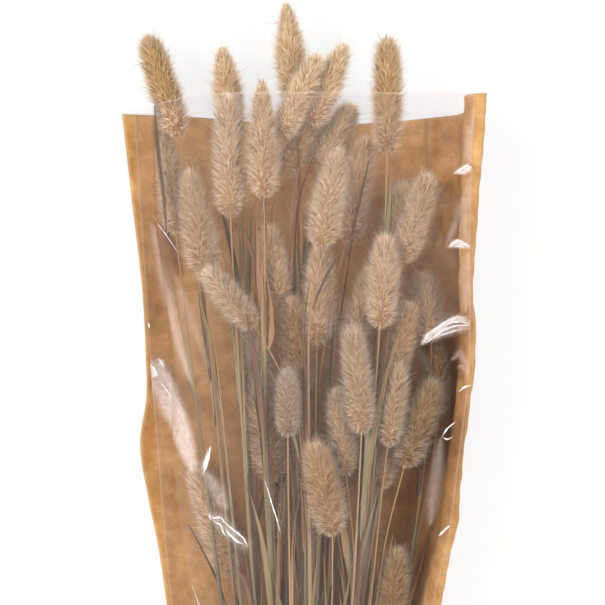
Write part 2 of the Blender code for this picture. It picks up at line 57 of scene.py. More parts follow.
# Heads: tip y, base y, radius of the fluff, ripeness from cream to brown, brightness
HEADS = (
    (296, 249, 8.4, 0.90, 0.92), (291, 253, 7.7, 0.45, 1.08), (264, 207, 8.5, 0.15, 1.02),
    (270, 216, 8.0, 0.30, 1.02), (313, 266, 8.5, 0.42, 1.04), (284, 246, 7.5, 0.25, 1.10),
    (291, 253, 8.1, 0.25, 1.15), (266, 229, 7.8, 0.30, 1.15), (262, 231, 7.8, 0.25, 1.12),
    (293, 239, 8.0, 0.75, 0.98), (245, 195, 8.2, 0.45, 1.10), (247, 199, 6.4, 0.40, 1.02),
    (237, 191, 8.5, 0.20, 1.02), (227, 178, 9.0, 0.52, 0.94), (177, 151, 7.2, 0.25, 0.95),
    (224, 184, 7.7, 0.40, 0.97), (221, 184, 7.7, 0.45, 1.00), (193, 151, 8.0, 0.38, 1.07),
    (178, 143, 7.2, 0.50, 0.95), (189, 142, 8.1, 0.40, 1.08), (163, 118, 7.6, 0.90, 0.92),
    (148, 99, 7.6, 0.35, 0.92), (117, 77, 7.0, 0.40, 0.90), (90, 48, 9.0, 0.95, 0.93),
    (160, 125, 7.2, 0.80, 1.14), (130, 92, 7.2, 0.45, 0.93), (106, 67, 8.6, 0.85, 0.98),
    (121, 81, 8.1, 0.90, 0.72), (36, -8, 7.8, 1.00, 0.78), (75, 22, 9.0, 0.35, 1.08),
    (122, 72, 9.6, 0.60, 0.85), (127, 97, 6.0, 0.20, 0.72), (69, 38, 6.4, 0.50, 0.75),
    (152, 116, 6.8, 0.45, 0.85), (199, 163, 7.1, 0.45, 1.12), (175, 143, 7.2, 0.30, 1.05),
    (138, 106, 6.7, 0.90, 0.90), (-15, -61, 8.2, 0.40, 0.90), (-1, -47, 8.2, 0.50, 0.90),
    (-53, -99, 7.7, 0.40, 0.95),
)

# Sleeve: place along y, and the value there, as in the part's source
PAPER_LEFT = (
    (265, -93.2), (215, -87.5), (163, -81.5), (137, -80.2), (111, -79.8), (90, -83.0),
    (58, -78.6), (32, -73.4), (6, -69.7), (-90, -60.0), (-170, -50.0), (-233.5, -42.0),
)
PAPER_RIGHT = (
    (265, 93.2), (212, 89.3), (163, 86.8), (148, 87.8), (128, 87.2), (101, 83.6),
    (73, 80.9), (48, 79.1), (35, 76.1), (13, 72.6), (-90, 64.0), (-170, 54.0), (-233.5, 46.0),
)
FILM_LEFT = ((265, -87.1), (15, -68.2), (-90, -56.5), (-170, -46.5), (-233.5, -38.5))
FILM_RIGHT = (
    (265, 87.5), (228, 86.0), (190, 85.0), (129, 84.8), (79, 79.4), (45, 75.5),
    (10, 68.0), (-90, 60.0), (-170, 50.0), (-233.5, 42.0),
)
CREASE = (
    (265, -76.5), (200, -74.0), (150, -68.0), (110, -66.0), (75, -67.0), (20, -60.0),
    (-60, -49.0), (-150, -38.0), (-233.5, -30.0),
)
SHOULDER = ((265, 32), (190, 30), (120, 26), (50, 24), (-60, 18), (-233.5, 14))
CROWN = (
    (265, 52), (150, 55), (60, 53), (10, 47), (-60, 41), (-120, 35), (-180, 31), (-233.5, 29),
)
RIGHT_WALL = (
    (265, 50), (128, 48), (90, 46), (50, 42), (13, 36), (-60, 24), (-150, 12), (-233.5, 6),
)
PAPER_LIFT = ((265, 3.5), (90, 5.0), (0, 3.0), (-233.5, 2.0))
SLEEVE_FOOT_Y = -233.5
# Mouths: share of the way across, and the edge's y there
PAPER_MOUTH = (
    (0.0, 261.0), (0.1, 260.5), (0.45, 255.5), (0.62, 257.5), (0.75, 260.5), (0.88, 263.5),
    (1.0, 265.0),
)
FILM_MOUTH = ((0.0, 261.5), (0.2, 262.5), (0.38, 264.5), (1.0, 264.5))
PAPER_THICK = 0.25
FILM_THICK = 0.12
SEAM_GAP = 0.5
MARGIN_EASE = 0.3
SEAM_OVERLAP = 2.6

# Grids: rows above this y, rows below it, and columns
FINE_FROM_Y = -10
FILM_GRID = (220, 44, 142)
PAPER_GRID = (140, 32, 124)
SECTION_LEVELS = 160


# Shader maths


class Wire:
    """A shader socket. Arithmetic on it adds Math nodes."""

    def __init__(self, finish, socket):
        self.finish, self.socket = finish, socket

    def maths(self, operation, *values, held=False):
        settings = {"operation": operation, "use_clamp": held}
        return self.finish.node("Math", settings, dict(enumerate(values)))

    def __add__(self, other):
        return self.maths("ADD", self, other)

    def __sub__(self, other):
        return self.maths("SUBTRACT", self, other)

    def __rsub__(self, other):
        return self.maths("SUBTRACT", other, self)

    def __mul__(self, other):
        return self.maths("MULTIPLY", self, other)

    def __pow__(self, other):
        return self.maths("POWER", self, other)

    def held(self):
        """The value kept between 0 and 1."""
        return self.maths("MULTIPLY", self, 1.0, held=True)

    def part_of(self, other):
        """The value over the other one, kept between 0 and 1."""
        return self.maths("DIVIDE", self, other, held=True)

    __radd__, __rmul__ = __add__, __mul__


class Finish:
    """A material under construction."""

    def __init__(self, name):
        self.material = bpy.data.materials.new(name)
        self.material.use_nodes = True
        self.tree = self.material.node_tree
        self.tree.nodes.clear()

    def node(self, kind, settings=None, sockets=None, output=0):
        """Adds a node of this type, its settings first, then the value or link of each socket."""
        made = self.tree.nodes.new("ShaderNode" + kind)
        for name, value in (settings or {}).items():
            if name == "stops":
                elements = made.color_ramp.elements
                while len(elements) < len(value):
                    elements.new(1.0)
                for element, (at, colour) in zip(elements, value):
                    element.position, element.color = at, (*colour, 1.0)
            else:
                setattr(made, name, value)
        for name, value in (sockets or {}).items():
            if isinstance(value, Wire):
                self.tree.links.new(value.socket, made.inputs[name])
            else:
                made.inputs[name].default_value = value
        return Wire(self, made.outputs[output]) if made.outputs else None

    def value(self, name, output="Fac"):
        """What a piece's own attribute of this name holds."""
        return self.node("Attribute", {"attribute_name": name}, output=output)

    def noise(self, place, scale, detail=2.0, roughness=0.5, distortion=0.0):
        return self.node("TexNoise", None, {"Vector": place, "Scale": scale, "Detail": detail,
                                            "Roughness": roughness, "Distortion": distortion})

    def grain(self, across, along, scale, detail, roughness, distortion=0.0):
        """Noise on a piece's own coordinates in millimetres, scaled across it and along it."""
        place = self.node("VectorMath", {"operation": "MULTIPLY"},
                          {0: self.value("lay", "Vector"), 1: (across, along, 1)})
        return self.noise(place, scale, detail, roughness, distortion)

    def ramp(self, value, *stops):
        return self.node("ValToRGB", {"stops": stops}, {"Fac": value})

    def step(self, value, low, high):
        """0 below low, 1 above high, smooth between them."""
        return self.node("MapRange", {"interpolation_type": "SMOOTHSTEP"},
                         {"Value": value, "From Min": low, "From Max": high})

    def mix(self, share, a, b, blend="MIX"):
        a, b = ((*c, 1.0) if isinstance(c, tuple) else c for c in (a, b))
        return self.node("Mix", {"data_type": "RGBA", "blend_type": blend},
                         {0: share, 6: a, 7: b}, 2)

    def times(self, colour, factor):
        return self.mix(1.0, colour, factor, "MULTIPLY")

    def bump(self, height, strength, distance):
        return self.node("Bump", None,
                         {"Height": height, "Strength": strength, "Distance": distance})

    def principled(self, **sockets):
        """The main shader, its sockets named in small letters and its colours of three values."""
        named = {}
        for name, value in sockets.items():
            name = name.replace("_", " ").title().replace("Ior", "IOR")
            named[name] = (*value, 1.0) if isinstance(value, tuple) else value
        return self.node("BsdfPrincipled", None, named)

    def done(self, shader):
        self.node("OutputMaterial", None, {"Surface": shader})
        return self.material

    def surface(self, **sockets):
        return self.done(self.principled(**sockets))


# Meshes


def add_piece(name, points, faces, finishes, nodes, values, corner_map, kinds=None,
              normals=None):
    """A piece from points in millimetres and arrays of faces, with values at its points.

    corner_map holds a place in the bake's map for every corner of every face. kinds gives the
    finish of each array of faces.
    """
    mesh = bpy.data.meshes.new(name)
    corners = np.concatenate([f.ravel() for f in faces]).astype(np.int32)
    sizes = np.concatenate([np.full(len(f), f.shape[1]) for f in faces])
    mesh.vertices.add(len(points))
    mesh.vertices.foreach_set("co", (np.asarray(points) * MM).astype(np.float32).ravel())
    mesh.loops.add(len(corners))
    mesh.loops.foreach_set("vertex_index", corners)
    mesh.polygons.add(len(sizes))
    mesh.polygons.foreach_set("loop_start", (np.cumsum(sizes) - sizes).astype(np.int32))
    for finish in finishes:
        mesh.materials.append(finish)
    if kinds:
        kind = np.concatenate([np.full(len(f), k) for f, k in zip(faces, kinds)])
        mesh.polygons.foreach_set("material_index", kind.astype(np.int32))
    mesh.update(calc_edges=True)
    mesh.shade_smooth()
    for key, value in values.items():
        kind, field = ("FLOAT", "value") if np.ndim(value) == 1 else ("FLOAT_VECTOR", "vector")
        layer = mesh.attributes.new(key, kind, "POINT")
        layer.data.foreach_set(field, np.asarray(value, np.float32).ravel())
    layer = mesh.uv_layers.new(name=BAKE_MAP)
    layer.uv.foreach_set("vector", np.asarray(corner_map, np.float32).ravel())
    if normals is not None:
        mesh.normals_split_custom_set_from_vertices(np.asarray(normals, np.float32))
    piece = bpy.data.objects.new(name, mesh)
    bpy.context.scene.collection.objects.link(piece)
    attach(piece, BODY)
    if nodes:
        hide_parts(*nodes)
    return piece


def thicken(piece, thickness, offset):
    solid = piece.modifiers.new("Thickness", "SOLIDIFY")
    solid.thickness, solid.offset = thickness * MM, offset


def grid_faces(rows, columns, ring=False):
    """Four-sided faces between neighbouring points of a grid, and each corner's row and column."""
    row, column = np.meshgrid(np.arange(rows - 1), np.arange(columns if ring else columns - 1),
                              indexing="ij")
    row, column = row.ravel()[:, None], column.ravel()[:, None]
    down = row + np.array([[0, 0, 1, 1]])
    over = column + np.array([[0, 1, 1, 0]])
    return down * columns + over % columns, np.stack([down, over], -1)


def whole_map(at, columns, rows):
    """Places in the bake's map, nearly all of it, for corners given by their row and column."""
    return 0.01 + 0.98 * at[..., ::-1] / np.array([columns, rows])


def map_column(index, count):
    """The box of the bake's map, low corner then high, that one of so many equal strips gets."""
    return (index + 0.1) / count, 0.01, (index + 0.9) / count, 0.99


def unit(vectors):
    return vectors / np.maximum(np.linalg.norm(vectors, axis=-1, keepdims=True), 1e-9)


def vectors(*parts):
    """Vectors from their parts, each of which is an array or one number."""
    return np.stack(np.broadcast_arrays(*parts), -1)


def turned(turn, start, towards):
    """The start vectors turned by an angle towards others that are square to them."""
    return np.cos(turn) * start + np.sin(turn) * towards


def ring_turns(count):
    """Angles evenly round a circle, shaped to go with rows of points."""
    return np.linspace(0, 2 * math.pi, count, endpoint=False)[None, :, None]


def distances(points):
    """How far along a level line each of its points is."""
    return np.concatenate([[0], np.cumsum(np.hypot(*np.diff(points, axis=0).T))])


def straight(table, at):
    """Value at the given places of straight lines through a table of (place, value)."""
    return np.interp(at, *zip(*table))


def smooth(table, at):
    """Value at the given places of a smooth curve through a table of (place, value)."""
    table = np.asarray(table, float)
    places, values = table[np.argsort(table[:, 0])].T
    slopes = np.gradient(values, places)
    at = np.clip(np.asarray(at, float), places[0], places[-1])
    k = np.clip(np.searchsorted(places, at, side="right") - 1, 0, len(places) - 2)
    width = places[k + 1] - places[k]
    t = (at - places[k]) / width
    start = values[k] * (2 * t**3 - 3 * t**2 + 1) + slopes[k] * width * (t**3 - 2 * t**2 + t)
    end = values[k + 1] * (3 * t**2 - 2 * t**3) + slopes[k + 1] * width * (t**3 - t**2)
    return start + end


def smoothed(line, reach):
    """A line of points, each replaced by the weighted mean of its neighbours, its ends kept."""
    kernel = np.hanning(2 * reach + 3)[1:-1]
    kernel /= kernel.sum()
    head = 2 * line[0] - line[reach:0:-1]
    tail = 2 * line[-1] - line[-2 : -reach - 2 : -1]
    padded = np.concatenate([head, line, tail])
    return np.stack([np.convolve(column, kernel, "valid") for column in padded.T], -1)


def fade(value, low, high):
    """0 below low, 1 above high, smooth between them."""
    t = np.clip((np.asarray(value, float) - low) / (high - low), 0, 1)
    return t * t * (3 - 2 * t)


def waves(places, size, seed, count=7):
    """Gentle unevenness between about -1 and 1: a sum of sines in random directions."""
    draw = np.random.default_rng(seed)
    turn = draw.uniform(0, 2 * math.pi, (count, places.shape[-1]))
    pitch = draw.normal(0, 2 * math.pi / size, (count, places.shape[-1]))
    return sum(np.sin((places * k + f).sum(-1)) for k, f in zip(pitch, turn)) / math.sqrt(count)


def node_corners(node):
    """The three corners of each triangle of a frame node, in millimetres."""
    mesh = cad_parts[node].data
    mesh.calc_loop_triangles()
    points = np.empty(len(mesh.vertices) * 3, np.float32)
    corners = np.empty(len(mesh.loop_triangles) * 3, np.int32)
    mesh.vertices.foreach_get("co", points)
    mesh.loop_triangles.foreach_get("vertices", corners)
    return points.reshape(-1, 3)[corners.reshape(-1, 3)].astype(float) / MM


def cuts(node, levels):
    """Where planes square to Y cut a frame node.

    Gives each cut's middle in x and z, and the place and weight of every edge that it crosses.
    """
    start = node_corners(node)
    end = np.roll(start, -1, axis=1).reshape(-1, 3)
    start = start.reshape(-1, 3)
    rise = end[:, 1] - start[:, 1]
    share = (levels[None, :] - start[:, 1:2]) / np.where(rise == 0, 1, rise)[:, None]
    there = (share > 0) & (share < 1) & (rise != 0)[:, None]
    points = start[:, None, ::2] + share[..., None] * (end - start)[:, None, ::2]
    weight = there / np.maximum(there.sum(0), 1)
    return (points * weight[..., None]).sum(0), points, weight


# Sleeve surfaces


def section_through(points, count):
    """Points evenly along a smooth curve through the given (x, z) points."""
    points = np.array(points, float)
    along = distances(points)
    at = np.linspace(0, along[-1], count)
    return tuple(smooth(np.column_stack([along, points[:, k]]), at) for k in (0, 1))


def paper_section(y, count):
    """Lower face of the paper across the sleeve at y: flat, a lifted left margin, a right wall."""
    left, right = smooth(PAPER_LEFT, y), smooth(PAPER_RIGHT, y)
    lift, wall = smooth(PAPER_LIFT, y), smooth(RIGHT_WALL, y)
    top = smooth(FILM_RIGHT, y) - SEAM_OVERLAP
    foot = top + 0.8 - 0.55 * (smooth(RIGHT_WALL, 265) - wall)
    points = (
        (left, lift),
        (left + 7, 0.35 * lift),
        (left + 15, 0),
        (0.6 * left + 0.4 * foot, 0),
        (0.3 * left + 0.7 * foot, 0),
        (foot - 9, 0),
        (foot - 1.5, 0.04 * wall),
        (0.5 * (foot + top) + 0.8, 0.5 * wall),
        (top, wall - 1.6),
        (top + 1.2, wall - 0.2),
        (right, wall),
    )
    x, z = section_through(points, count)
    return x, np.maximum(z, 0)


def film_section(y, count):
    """Lower face of the film across the sleeve at y: left margin, over the heads, to the wall."""
    left, right = smooth(FILM_LEFT, y), smooth(FILM_RIGHT, y)
    crease, shoulder = smooth(CREASE, y), smooth(SHOULDER, y)
    crown, wall = smooth(CROWN, y), smooth(RIGHT_WALL, y)
    top = right - SEAM_OVERLAP
    span = top - crease
    margin = np.array([left, 0.5 * (left + crease), crease - 1.5])
    rest = np.interp(margin, *paper_section(y, 80)) + PAPER_THICK + SEAM_GAP + MARGIN_EASE
    points = (
        *zip(margin, rest),
        (crease + 0.6, 0.35 * shoulder),
        (crease + 2.5, 0.75 * shoulder),
        (crease + 0.07 * span, shoulder + 0.3 * (crown - shoulder)),
        (crease + 0.2 * span, crown - 2.5),
        (crease + 0.5 * span, crown),
        (top - 0.22 * span, wall + 0.9 * (crown - wall)),
        (top - 0.05 * span, wall + 0.35 * (crown - wall) + 1.6),
        (top + 1.0, wall + PAPER_THICK + SEAM_GAP + 0.1),
        (right, wall + PAPER_THICK + SEAM_GAP),
    )
    return section_through(points, count)


def sleeve_grid(section, mouth, fine_rows, coarse_rows, columns):
    """A sleeve panel's places: at each share of the way from foot to mouth, its section curve.

    Rows lie close together above FINE_FROM_Y and wider below it.
    """
    low = (FINE_FROM_Y - SLEEVE_FOOT_Y) / (max(y for _, y in mouth) - SLEEVE_FOOT_Y)
    rows = np.concatenate([np.linspace(0, low, coarse_rows, endpoint=False),
                           np.linspace(low, 1, fine_rows)])
    mouth_y = smooth(mouth, np.linspace(0, 1, columns))
    levels = np.linspace(SLEEVE_FOOT_Y, mouth_y.max(), SECTION_LEVELS)
    table = np.array([section(level, columns) for level in levels])
    y = SLEEVE_FOOT_Y + (mouth_y[None, :] - SLEEVE_FOOT_Y) * rows[:, None]
    at = (y - levels[0]) / (levels[1] - levels[0])
    low = np.clip(at.astype(int), 0, len(levels) - 2)
    share = np.clip(at - low, 0, 1)
    column = np.arange(columns)[None, :]
    x, z = (table[low, k, column] * (1 - share) + table[low + 1, k, column] * share for k in (0, 1))
    return vectors(x, y, z)


def line_distance(place, start, end):
    """How far each place is from a straight line, and what share along it the nearest point is."""
    step = end - start
    t = np.clip(((place - start) * step).sum(-1) / (step**2).sum(), 0, 1)
    return np.hypot(*np.moveaxis(place - start - t[..., None] * step, -1, 0)), t


def stroke(place, points, width, taper=True):
    """1 on a line through the points, falling to 0 at the width beside it, and thin at its ends."""
    points = np.asarray(points, float)
    behind = distances(points)
    best, at = np.full(place.shape[:-1], 1e9), np.zeros(place.shape[:-1])
    for start, end, before, after in zip(points, points[1:], behind, behind[1:]):
        away, t = line_distance(place, start, end)
        nearer = away < best
        best = np.where(nearer, away, best)
        at = np.where(nearer, (before + t * (after - before)) / behind[-1], at)
    if taper:
        width = width * (0.12 + 0.88 * np.sin(math.pi * at) ** 0.6)
    return np.exp(-((best / width) ** 2))


def patch(place, points, soft):
    """1 inside a closed outline and 0 outside it, with an edge of this softness."""
    points = np.asarray(points, float)
    inside = np.zeros(place.shape[:-1], bool)
    away = np.full(place.shape[:-1], 1e9)
    x, y = place[..., 0], place[..., 1]
    for start, end in zip(points, np.roll(points, -1, axis=0)):
        step = end - start
        across = (start[1] > y) != (end[1] > y)
        rise = step[1] if step[1] else 1e-9
        inside ^= across & (x < start[0] + step[0] * (y - start[1]) / rise)
        away = np.minimum(away, line_distance(place, start, end)[0])
    return fade(np.where(inside, away, -away), -soft, soft)


FILM_FOLDS = (  # line, half width, height
    (((59, 140), (67, 148), (78, 154.5), (86, 150.5)), 3.2, 2.4),
    (((62, 141), (74, 147), (85, 150)), 1.6, -1),
    (((58.8, 139.9), (63.8, 131.6), (68.7, 121.8), (72, 106)), 2, 1.2),
    (((72.6, 189.5), (77.7, 201.3), (81.2, 212.2), (84.7, 223.1)), 1.8, 1.4),
    (((83.8, 190.6), (81.8, 199.4), (82.3, 206.8), (85.2, 220.1)), 1.5, 1),
    (((73.1, 187.5), (78, 191.5), (85.5, 188)), 2.2, 1.8),
    (((89.6, 264.9), (86.7, 251.6), (84.2, 239.3), (82.2, 229.4)), 1.6, 1),
    (((76, 225), (81, 229), (86, 227)), 2.4, 1.6),
    (((75.7, 133.5), (79.8, 137.4), (84.5, 127.9)), 1.6, 1),
    (((79, 117.6), (82, 120), (86, 121)), 1.4, 1),
    (((70.4, 95.6), (73.4, 99.9), (78.1, 103.2)), 1.6, 1.2),
    (((70.4, 97), (68.5, 79.2), (66.6, 64.3), (65.3, 51.8)), 2, 1.4),
    (((69.6, 45.7), (72.7, 48.5), (75.7, 51)), 1.6, 1.2),
    (((-69.5, 163.1), (-58.1, 135.2), (-49.9, 116.6), (-40, 92)), 4.5, 1.6),
    (((-76.8, 121.1), (-63.4, 106.4), (-46.1, 78.7)), 3.5, 1.8),
    (((-77.1, 207.9), (-67.4, 196.9), (-59, 185.5)), 1.2, 0.8),
    (((-79.1, 207.8), (-62, 173.1), (-46, 138.2), (-30.8, 99.3)), 6, 1.6),
    (((-43.6, 90.5), (-45.5, 83.7), (-47.1, 77)), 1.6, 1.6),
    (((-44.6, 57.3), (-42.1, 55.1), (-37.6, 56.2), (-32.6, 50.8), (-27, 46.5)), 1.3, 0.9),
    (((-38, 54.5), (-38, 52.5), (-35.1, 46.3), (-30, 38)), 1.2, 0.9),
    (((-16.6, 76), (-12.7, 63), (-8.3, 47.5)), 1, 0.8),
    (((-55, 20), (-40, -8), (-30, -45)), 4, 1.6),
    (((52, 10), (46, -30), (36, -70)), 3.5, 1.6),
    (((-20, -60), (-12, -110), (-8, -160)), 4, 1.8),
    (((25, -90), (20, -140), (15, -190)), 3.5, 1.5),
    (((-38, -110), (-28, -160), (-20, -205)), 3, 1.4),
)
GLINTS = (  # painted highlights, white patches on the film: outline, strength
    (((60, 141), (62.5, 146.3), (68.2, 150.2), (73.2, 153.4), (78.2, 155.6), (82.5, 154.2),
      (85.6, 150.7), (82.3, 151.8), (78, 152.6), (73.5, 150.6), (68.5, 147), (64, 143.6)), 0.55),
    (((66, 144.6), (71.7, 148.8), (77.2, 150.2), (84.9, 150.4), (80.8, 148.3), (74.7, 146.8)),
     0.45),
    (((73.6, 188.5), (75.6, 191.6), (78.2, 192.8), (81.3, 191.6), (85.3, 188.8), (80.8, 188.4),
      (77.5, 189.4)), 0.6),
    (((76.5, 224.9), (80.2, 227.9), (83.7, 229.8), (85.8, 227.6), (82.7, 225.4)), 0.85),
    (((-77.9, 129), (-75.6, 127.6), (-73.2, 122), (-76.6, 122.8)), 1),
    (((-74.2, 132.6), (-71, 131), (-70.2, 126.4), (-73.4, 128.8)), 0.7),
    (((-77.2, 131), (-70.5, 128.5), (-63.5, 119), (-57.5, 107.5), (-53, 95), (-50.5, 82),
      (-53.5, 77.5), (-58.5, 84), (-66.5, 96), (-73, 106.5), (-76.8, 118)), 0.50),
    (((-80.6, 151), (-79.3, 150.6), (-79.2, 148.4), (-80.4, 148.6)), 0.8),
    (((-43.3, 90.8), (-44.4, 84), (-46.9, 77), (-46.3, 83.6)), 1),
    (((-45, 58), (-37, 57), (-31, 50.5), (-24.5, 43), (-25.5, 40), (-35, 46.5), (-41, 52.5)), 0.20),
)
CRISP_FROM = 0.52  # patches that are stronger than this have the crisp edge
CRISP_EDGE, SOFT_EDGE = 0.5, 2.6
GLINT_LINES = (  # painted sheen: line, half width, strength
    (((70.2, 95), (68.5, 79.2), (66.6, 64.3), (65.3, 51.8)), 3, 0.15),
    (((72.6, 189.5), (77.7, 201.3), (81.2, 212.2), (84.7, 223.1)), 1.6, 0.13),
    (((83.8, 190.6), (81.8, 199.4), (82.3, 206.8), (85.2, 220.1)), 1.8, 0.18),
    (((89.6, 264.9), (86.7, 251.6), (84.2, 239.3), (82.2, 229.4)), 1.4, 0.20),
    (((84.2, 249.1), (84.2, 229.5)), 2.2, 0.18),
    (((84, 186), (83, 172), (82.5, 158)), 2.6, 0.16),
    (((75.7, 133.5), (79.8, 137.4), (84.5, 127.9), (79, 131)), 1.8, 0.20),
    (((-77, 203), (-73, 183), (-66, 160), (-60, 140), (-53.5, 122)), 3.2, 0.24),
    (((-62, 176), (-52, 150), (-44, 130)), 2.4, 0.10),
    (((-44.5, 77), (-39.4, 69.4), (-34.9, 59.7)), 3.2, 0.20),
    (((-48, 82), (-42, 70), (-37, 60)), 2.2, 0.16),
)
GLINT_STRIPS = (  # painted highlights, thin white strips on the film's creases: line, half width
    (((-44.6, 57.3), (-42.1, 55.1), (-39.9, 55.8), (-37.6, 56.2), (-36.5, 54), (-34.8, 52.8)),
     0.45),
    (((-37, 54.6), (-32.6, 50.8), (-29.5, 48.6), (-27, 46.5), (-25.3, 43.4), (-24.6, 41)), 0.50),
    (((-42.5, 54.6), (-40.6, 53), (-38, 52.5), (-36.8, 48.6), (-35.1, 46.3)), 0.40),
    (((-36.2, 51), (-34, 48), (-31.5, 45.6), (-29, 43.8), (-26.2, 43)), 0.55),
    (((-43.4, 57.8), (-43.9, 55.4), (-42.4, 53.9)), 0.35),
    (((-16.6, 76), (-14.6, 69.8), (-12.7, 63), (-10.3, 55.5), (-8.3, 47.5)), 0.32),
    (((-43.1, 91.2), (-43.7, 87), (-44.8, 82.5), (-46.8, 76.8)), 0.65),
    (((-77.1, 207.9), (-67.4, 196.9), (-59, 185.5)), 0.22),
    (((60.4, 141.5), (63.2, 145.8), (68.2, 149.6), (73.2, 152.8), (78.2, 154.9), (82.8, 153.8)),
     0.55),
    (((61.5, 141.2), (66.4, 145), (71.7, 148.8), (77.2, 150.4), (85.2, 150.7)), 0.60),
    (((64.5, 143.2), (70.5, 145.9), (76, 147.6), (81.5, 148.9)), 0.38),
    (((70.6, 150.2), (75.5, 152.2), (80.5, 152.3), (84.5, 151.2)), 0.40),
    (((73.9, 188.8), (76, 191.2), (78.4, 192.2), (81.3, 191.1), (85, 188.9)), 0.65),
    (((75.8, 189.2), (79, 189.5), (82.3, 188.9)), 0.42),
    (((76.8, 225.2), (80.2, 227.6), (83.6, 229.3), (85.4, 227.8)), 0.55),
    (((79, 117.6), (82, 120), (86, 121)), 0.48),
    (((70.4, 95.6), (73.4, 99.9), (78.1, 103.2)), 0.42),
    (((70.6, 95.8), (73.6, 94.2), (76.6, 95.4)), 0.36),
    (((69.6, 45.7), (72.7, 48.5), (75.7, 51)), 0.60),
    (((-77.6, 128.8), (-75.6, 127.2), (-73.6, 122.6)), 0.65),
    (((-74.4, 132.2), (-72.2, 131.2), (-70.6, 127.2)), 0.45),
    (((-76, 119.6), (-72.6, 120.4), (-68, 114), (-64.4, 107.4)), 0.35),
    (((-80.3, 151.2), (-79.2, 150.2), (-79.4, 148.2)), 0.50),
    (((52, 10), (48, -12), (44, -40)), 0.30),
    (((-55, 20), (-47, 2), (-40, -18), (-34, -40)), 0.32),
    (((-20, -60), (-15, -90), (-11, -125)), 0.30),
)
CLEAR_SIDE = (  # where the film has no haze, at the right
    (44, 128), (84, 132), (80, 60), (66, -20), (40, -60), (36, 20), (52, 90),
)
FILM_SHADOWS = (  # painted shadows in creases, grey-brown: line, half width, strength
    (((-73, 263), (-72.2, 250), (-70.4, 234.4), (-67.6, 213), (-66.5, 198.5)), 1.15, 0.95),
    (((-70.3, 128.4), (-64.2, 118.6), (-57, 107.4)), 1.4, 0.35),
    (((58.6, 139.2), (63.8, 131.6), (68.7, 121.8)), 0.9, 0.40),
    (((68.4, 206), (70.2, 214.5), (75, 221), (79, 212)), 0.9, 0.35),
)
PAPER_SHADE_AND_LIGHT = (  # painted shade and light on the paper, such as the pile's shadow and the shade by the right wall: x, y, half width, half height, factor
    (66, 91, 13, 30, 0.40), (62, 45, 18, 45, 0.96), (-25, 110, 25, 45, 0.85),
    (84, 75, 7, 45, 0.52), (-67, 203, 8, 38, 0.54), (-81, 80, 7, 45, 0.82),
    (-84, 160, 6, 50, 0.86), (2, 25, 34, 58, 0.20), (20, 110, 34, 40, 0.70),
    (0, 240, 80, 26, 1.24), (66, 232, 9, 22, 1.12), (0, -120, 60, 90, 0.80),
    (28, 240, 22, 18, 1.34), (-76, 150, 6, 60, 0.84), (88, 185, 5, 40, 0.76),
    (-58, 60, 14, 30, 0.84),
)
SHADE_HUE_POWERS = (1.0, 1.30, 1.70)  # red, green and blue, so that the paper's painted shade is redder
PAPER_CREASE_SHADOWS = (  # painted shadows of creases on the paper: line, half width, how dark
    (((-75.4, 263), (-74.4, 250), (-73.1, 237), (-70.2, 213), (-69, 198)), 1.7, 0.55),
    (((-69, 200), (-66, 190), (-62, 178)), 2.2, 0.40),
)
CLINGS = (  # where the film lies against the paper's wall and looks wet
    ((66.4, 262), (66.2, 241.5), (66.6, 229.2), (68, 222.8), (72.2, 215.5), (77.2, 211.6),
     (77.6, 213.4), (73.6, 217.8), (70.2, 223.4), (69, 229.2), (68.8, 241.5), (69, 262)),
    ((70.7, 222.8), (74, 226), (81.2, 225), (81.8, 214), (77.2, 212.6), (73.2, 217)),
    ((67.2, 206.1), (75.7, 209.1), (75.7, 201.3), (72.7, 193.4), (71.2, 189.5), (69.2, 198.3)),
    ((60.3, 139.5), (67.7, 143.4), (74.7, 146.3), (81.8, 148.2), (83, 140.8), (83, 122),
     (78.5, 124), (75, 119), (69.7, 119.8), (64.7, 131.1)),
)


# Finishes


def kraft_finish():
    """Brown kraft paper: cloudy pulp, fibres and faint bands across, darker where film clings, with
    painted shade and light.
    """
    f = Finish("kraft_paper_fibres")
    cloud = f.grain(1, 1, 0.035, 5.0, 0.6)
    bands = f.grain(0.012, 0.30, 1.0, 3.0, 0.6)
    fibres = f.grain(0.55, 0.22, 2.2, 4.0, 0.7, 1.5)
    flecks = f.grain(0.9, 0.45, 1.1, 1.0, 0.5)
    blots = f.grain(1, 1, 0.11, 3.0, 0.6)
    ribs = f.grain(0.02, 0.85, 1.0, 1.0, 0.5)
    colour = f.ramp(cloud * 0.44 + bands * 0.05 + fibres * 0.22 + blots * 0.36 + ribs * 0.05,
                    (0.42, (0.34, 0.156, 0.047)), (0.55, (0.52, 0.272, 0.094)),
                    (0.68, (0.69, 0.400, 0.168)))
    colour = f.mix(f.step(flecks, 0.68, 0.76) * 0.45, colour, (0.20, 0.085, 0.030))
    colour = f.mix(f.step(fibres, 0.64, 0.78) * 0.35, colour, (0.68, 0.44, 0.23))
    colour = f.mix(f.value("clinging") * 0.75, colour, (0.33, 0.150, 0.040))
    # painted shade and light, laid over the paper's own colour
    colour = f.times(colour, f.value("tone", "Color"))
    colour = f.mix(f.value("worn") * 0.5, colour, (0.62, 0.40, 0.21))
    return f.surface(base_color=colour, roughness=0.80 - f.value("clinging") * 0.35,
                     normal=f.bump(fibres * 0.7 + cloud * 0.6, 0.35, 0.0004))


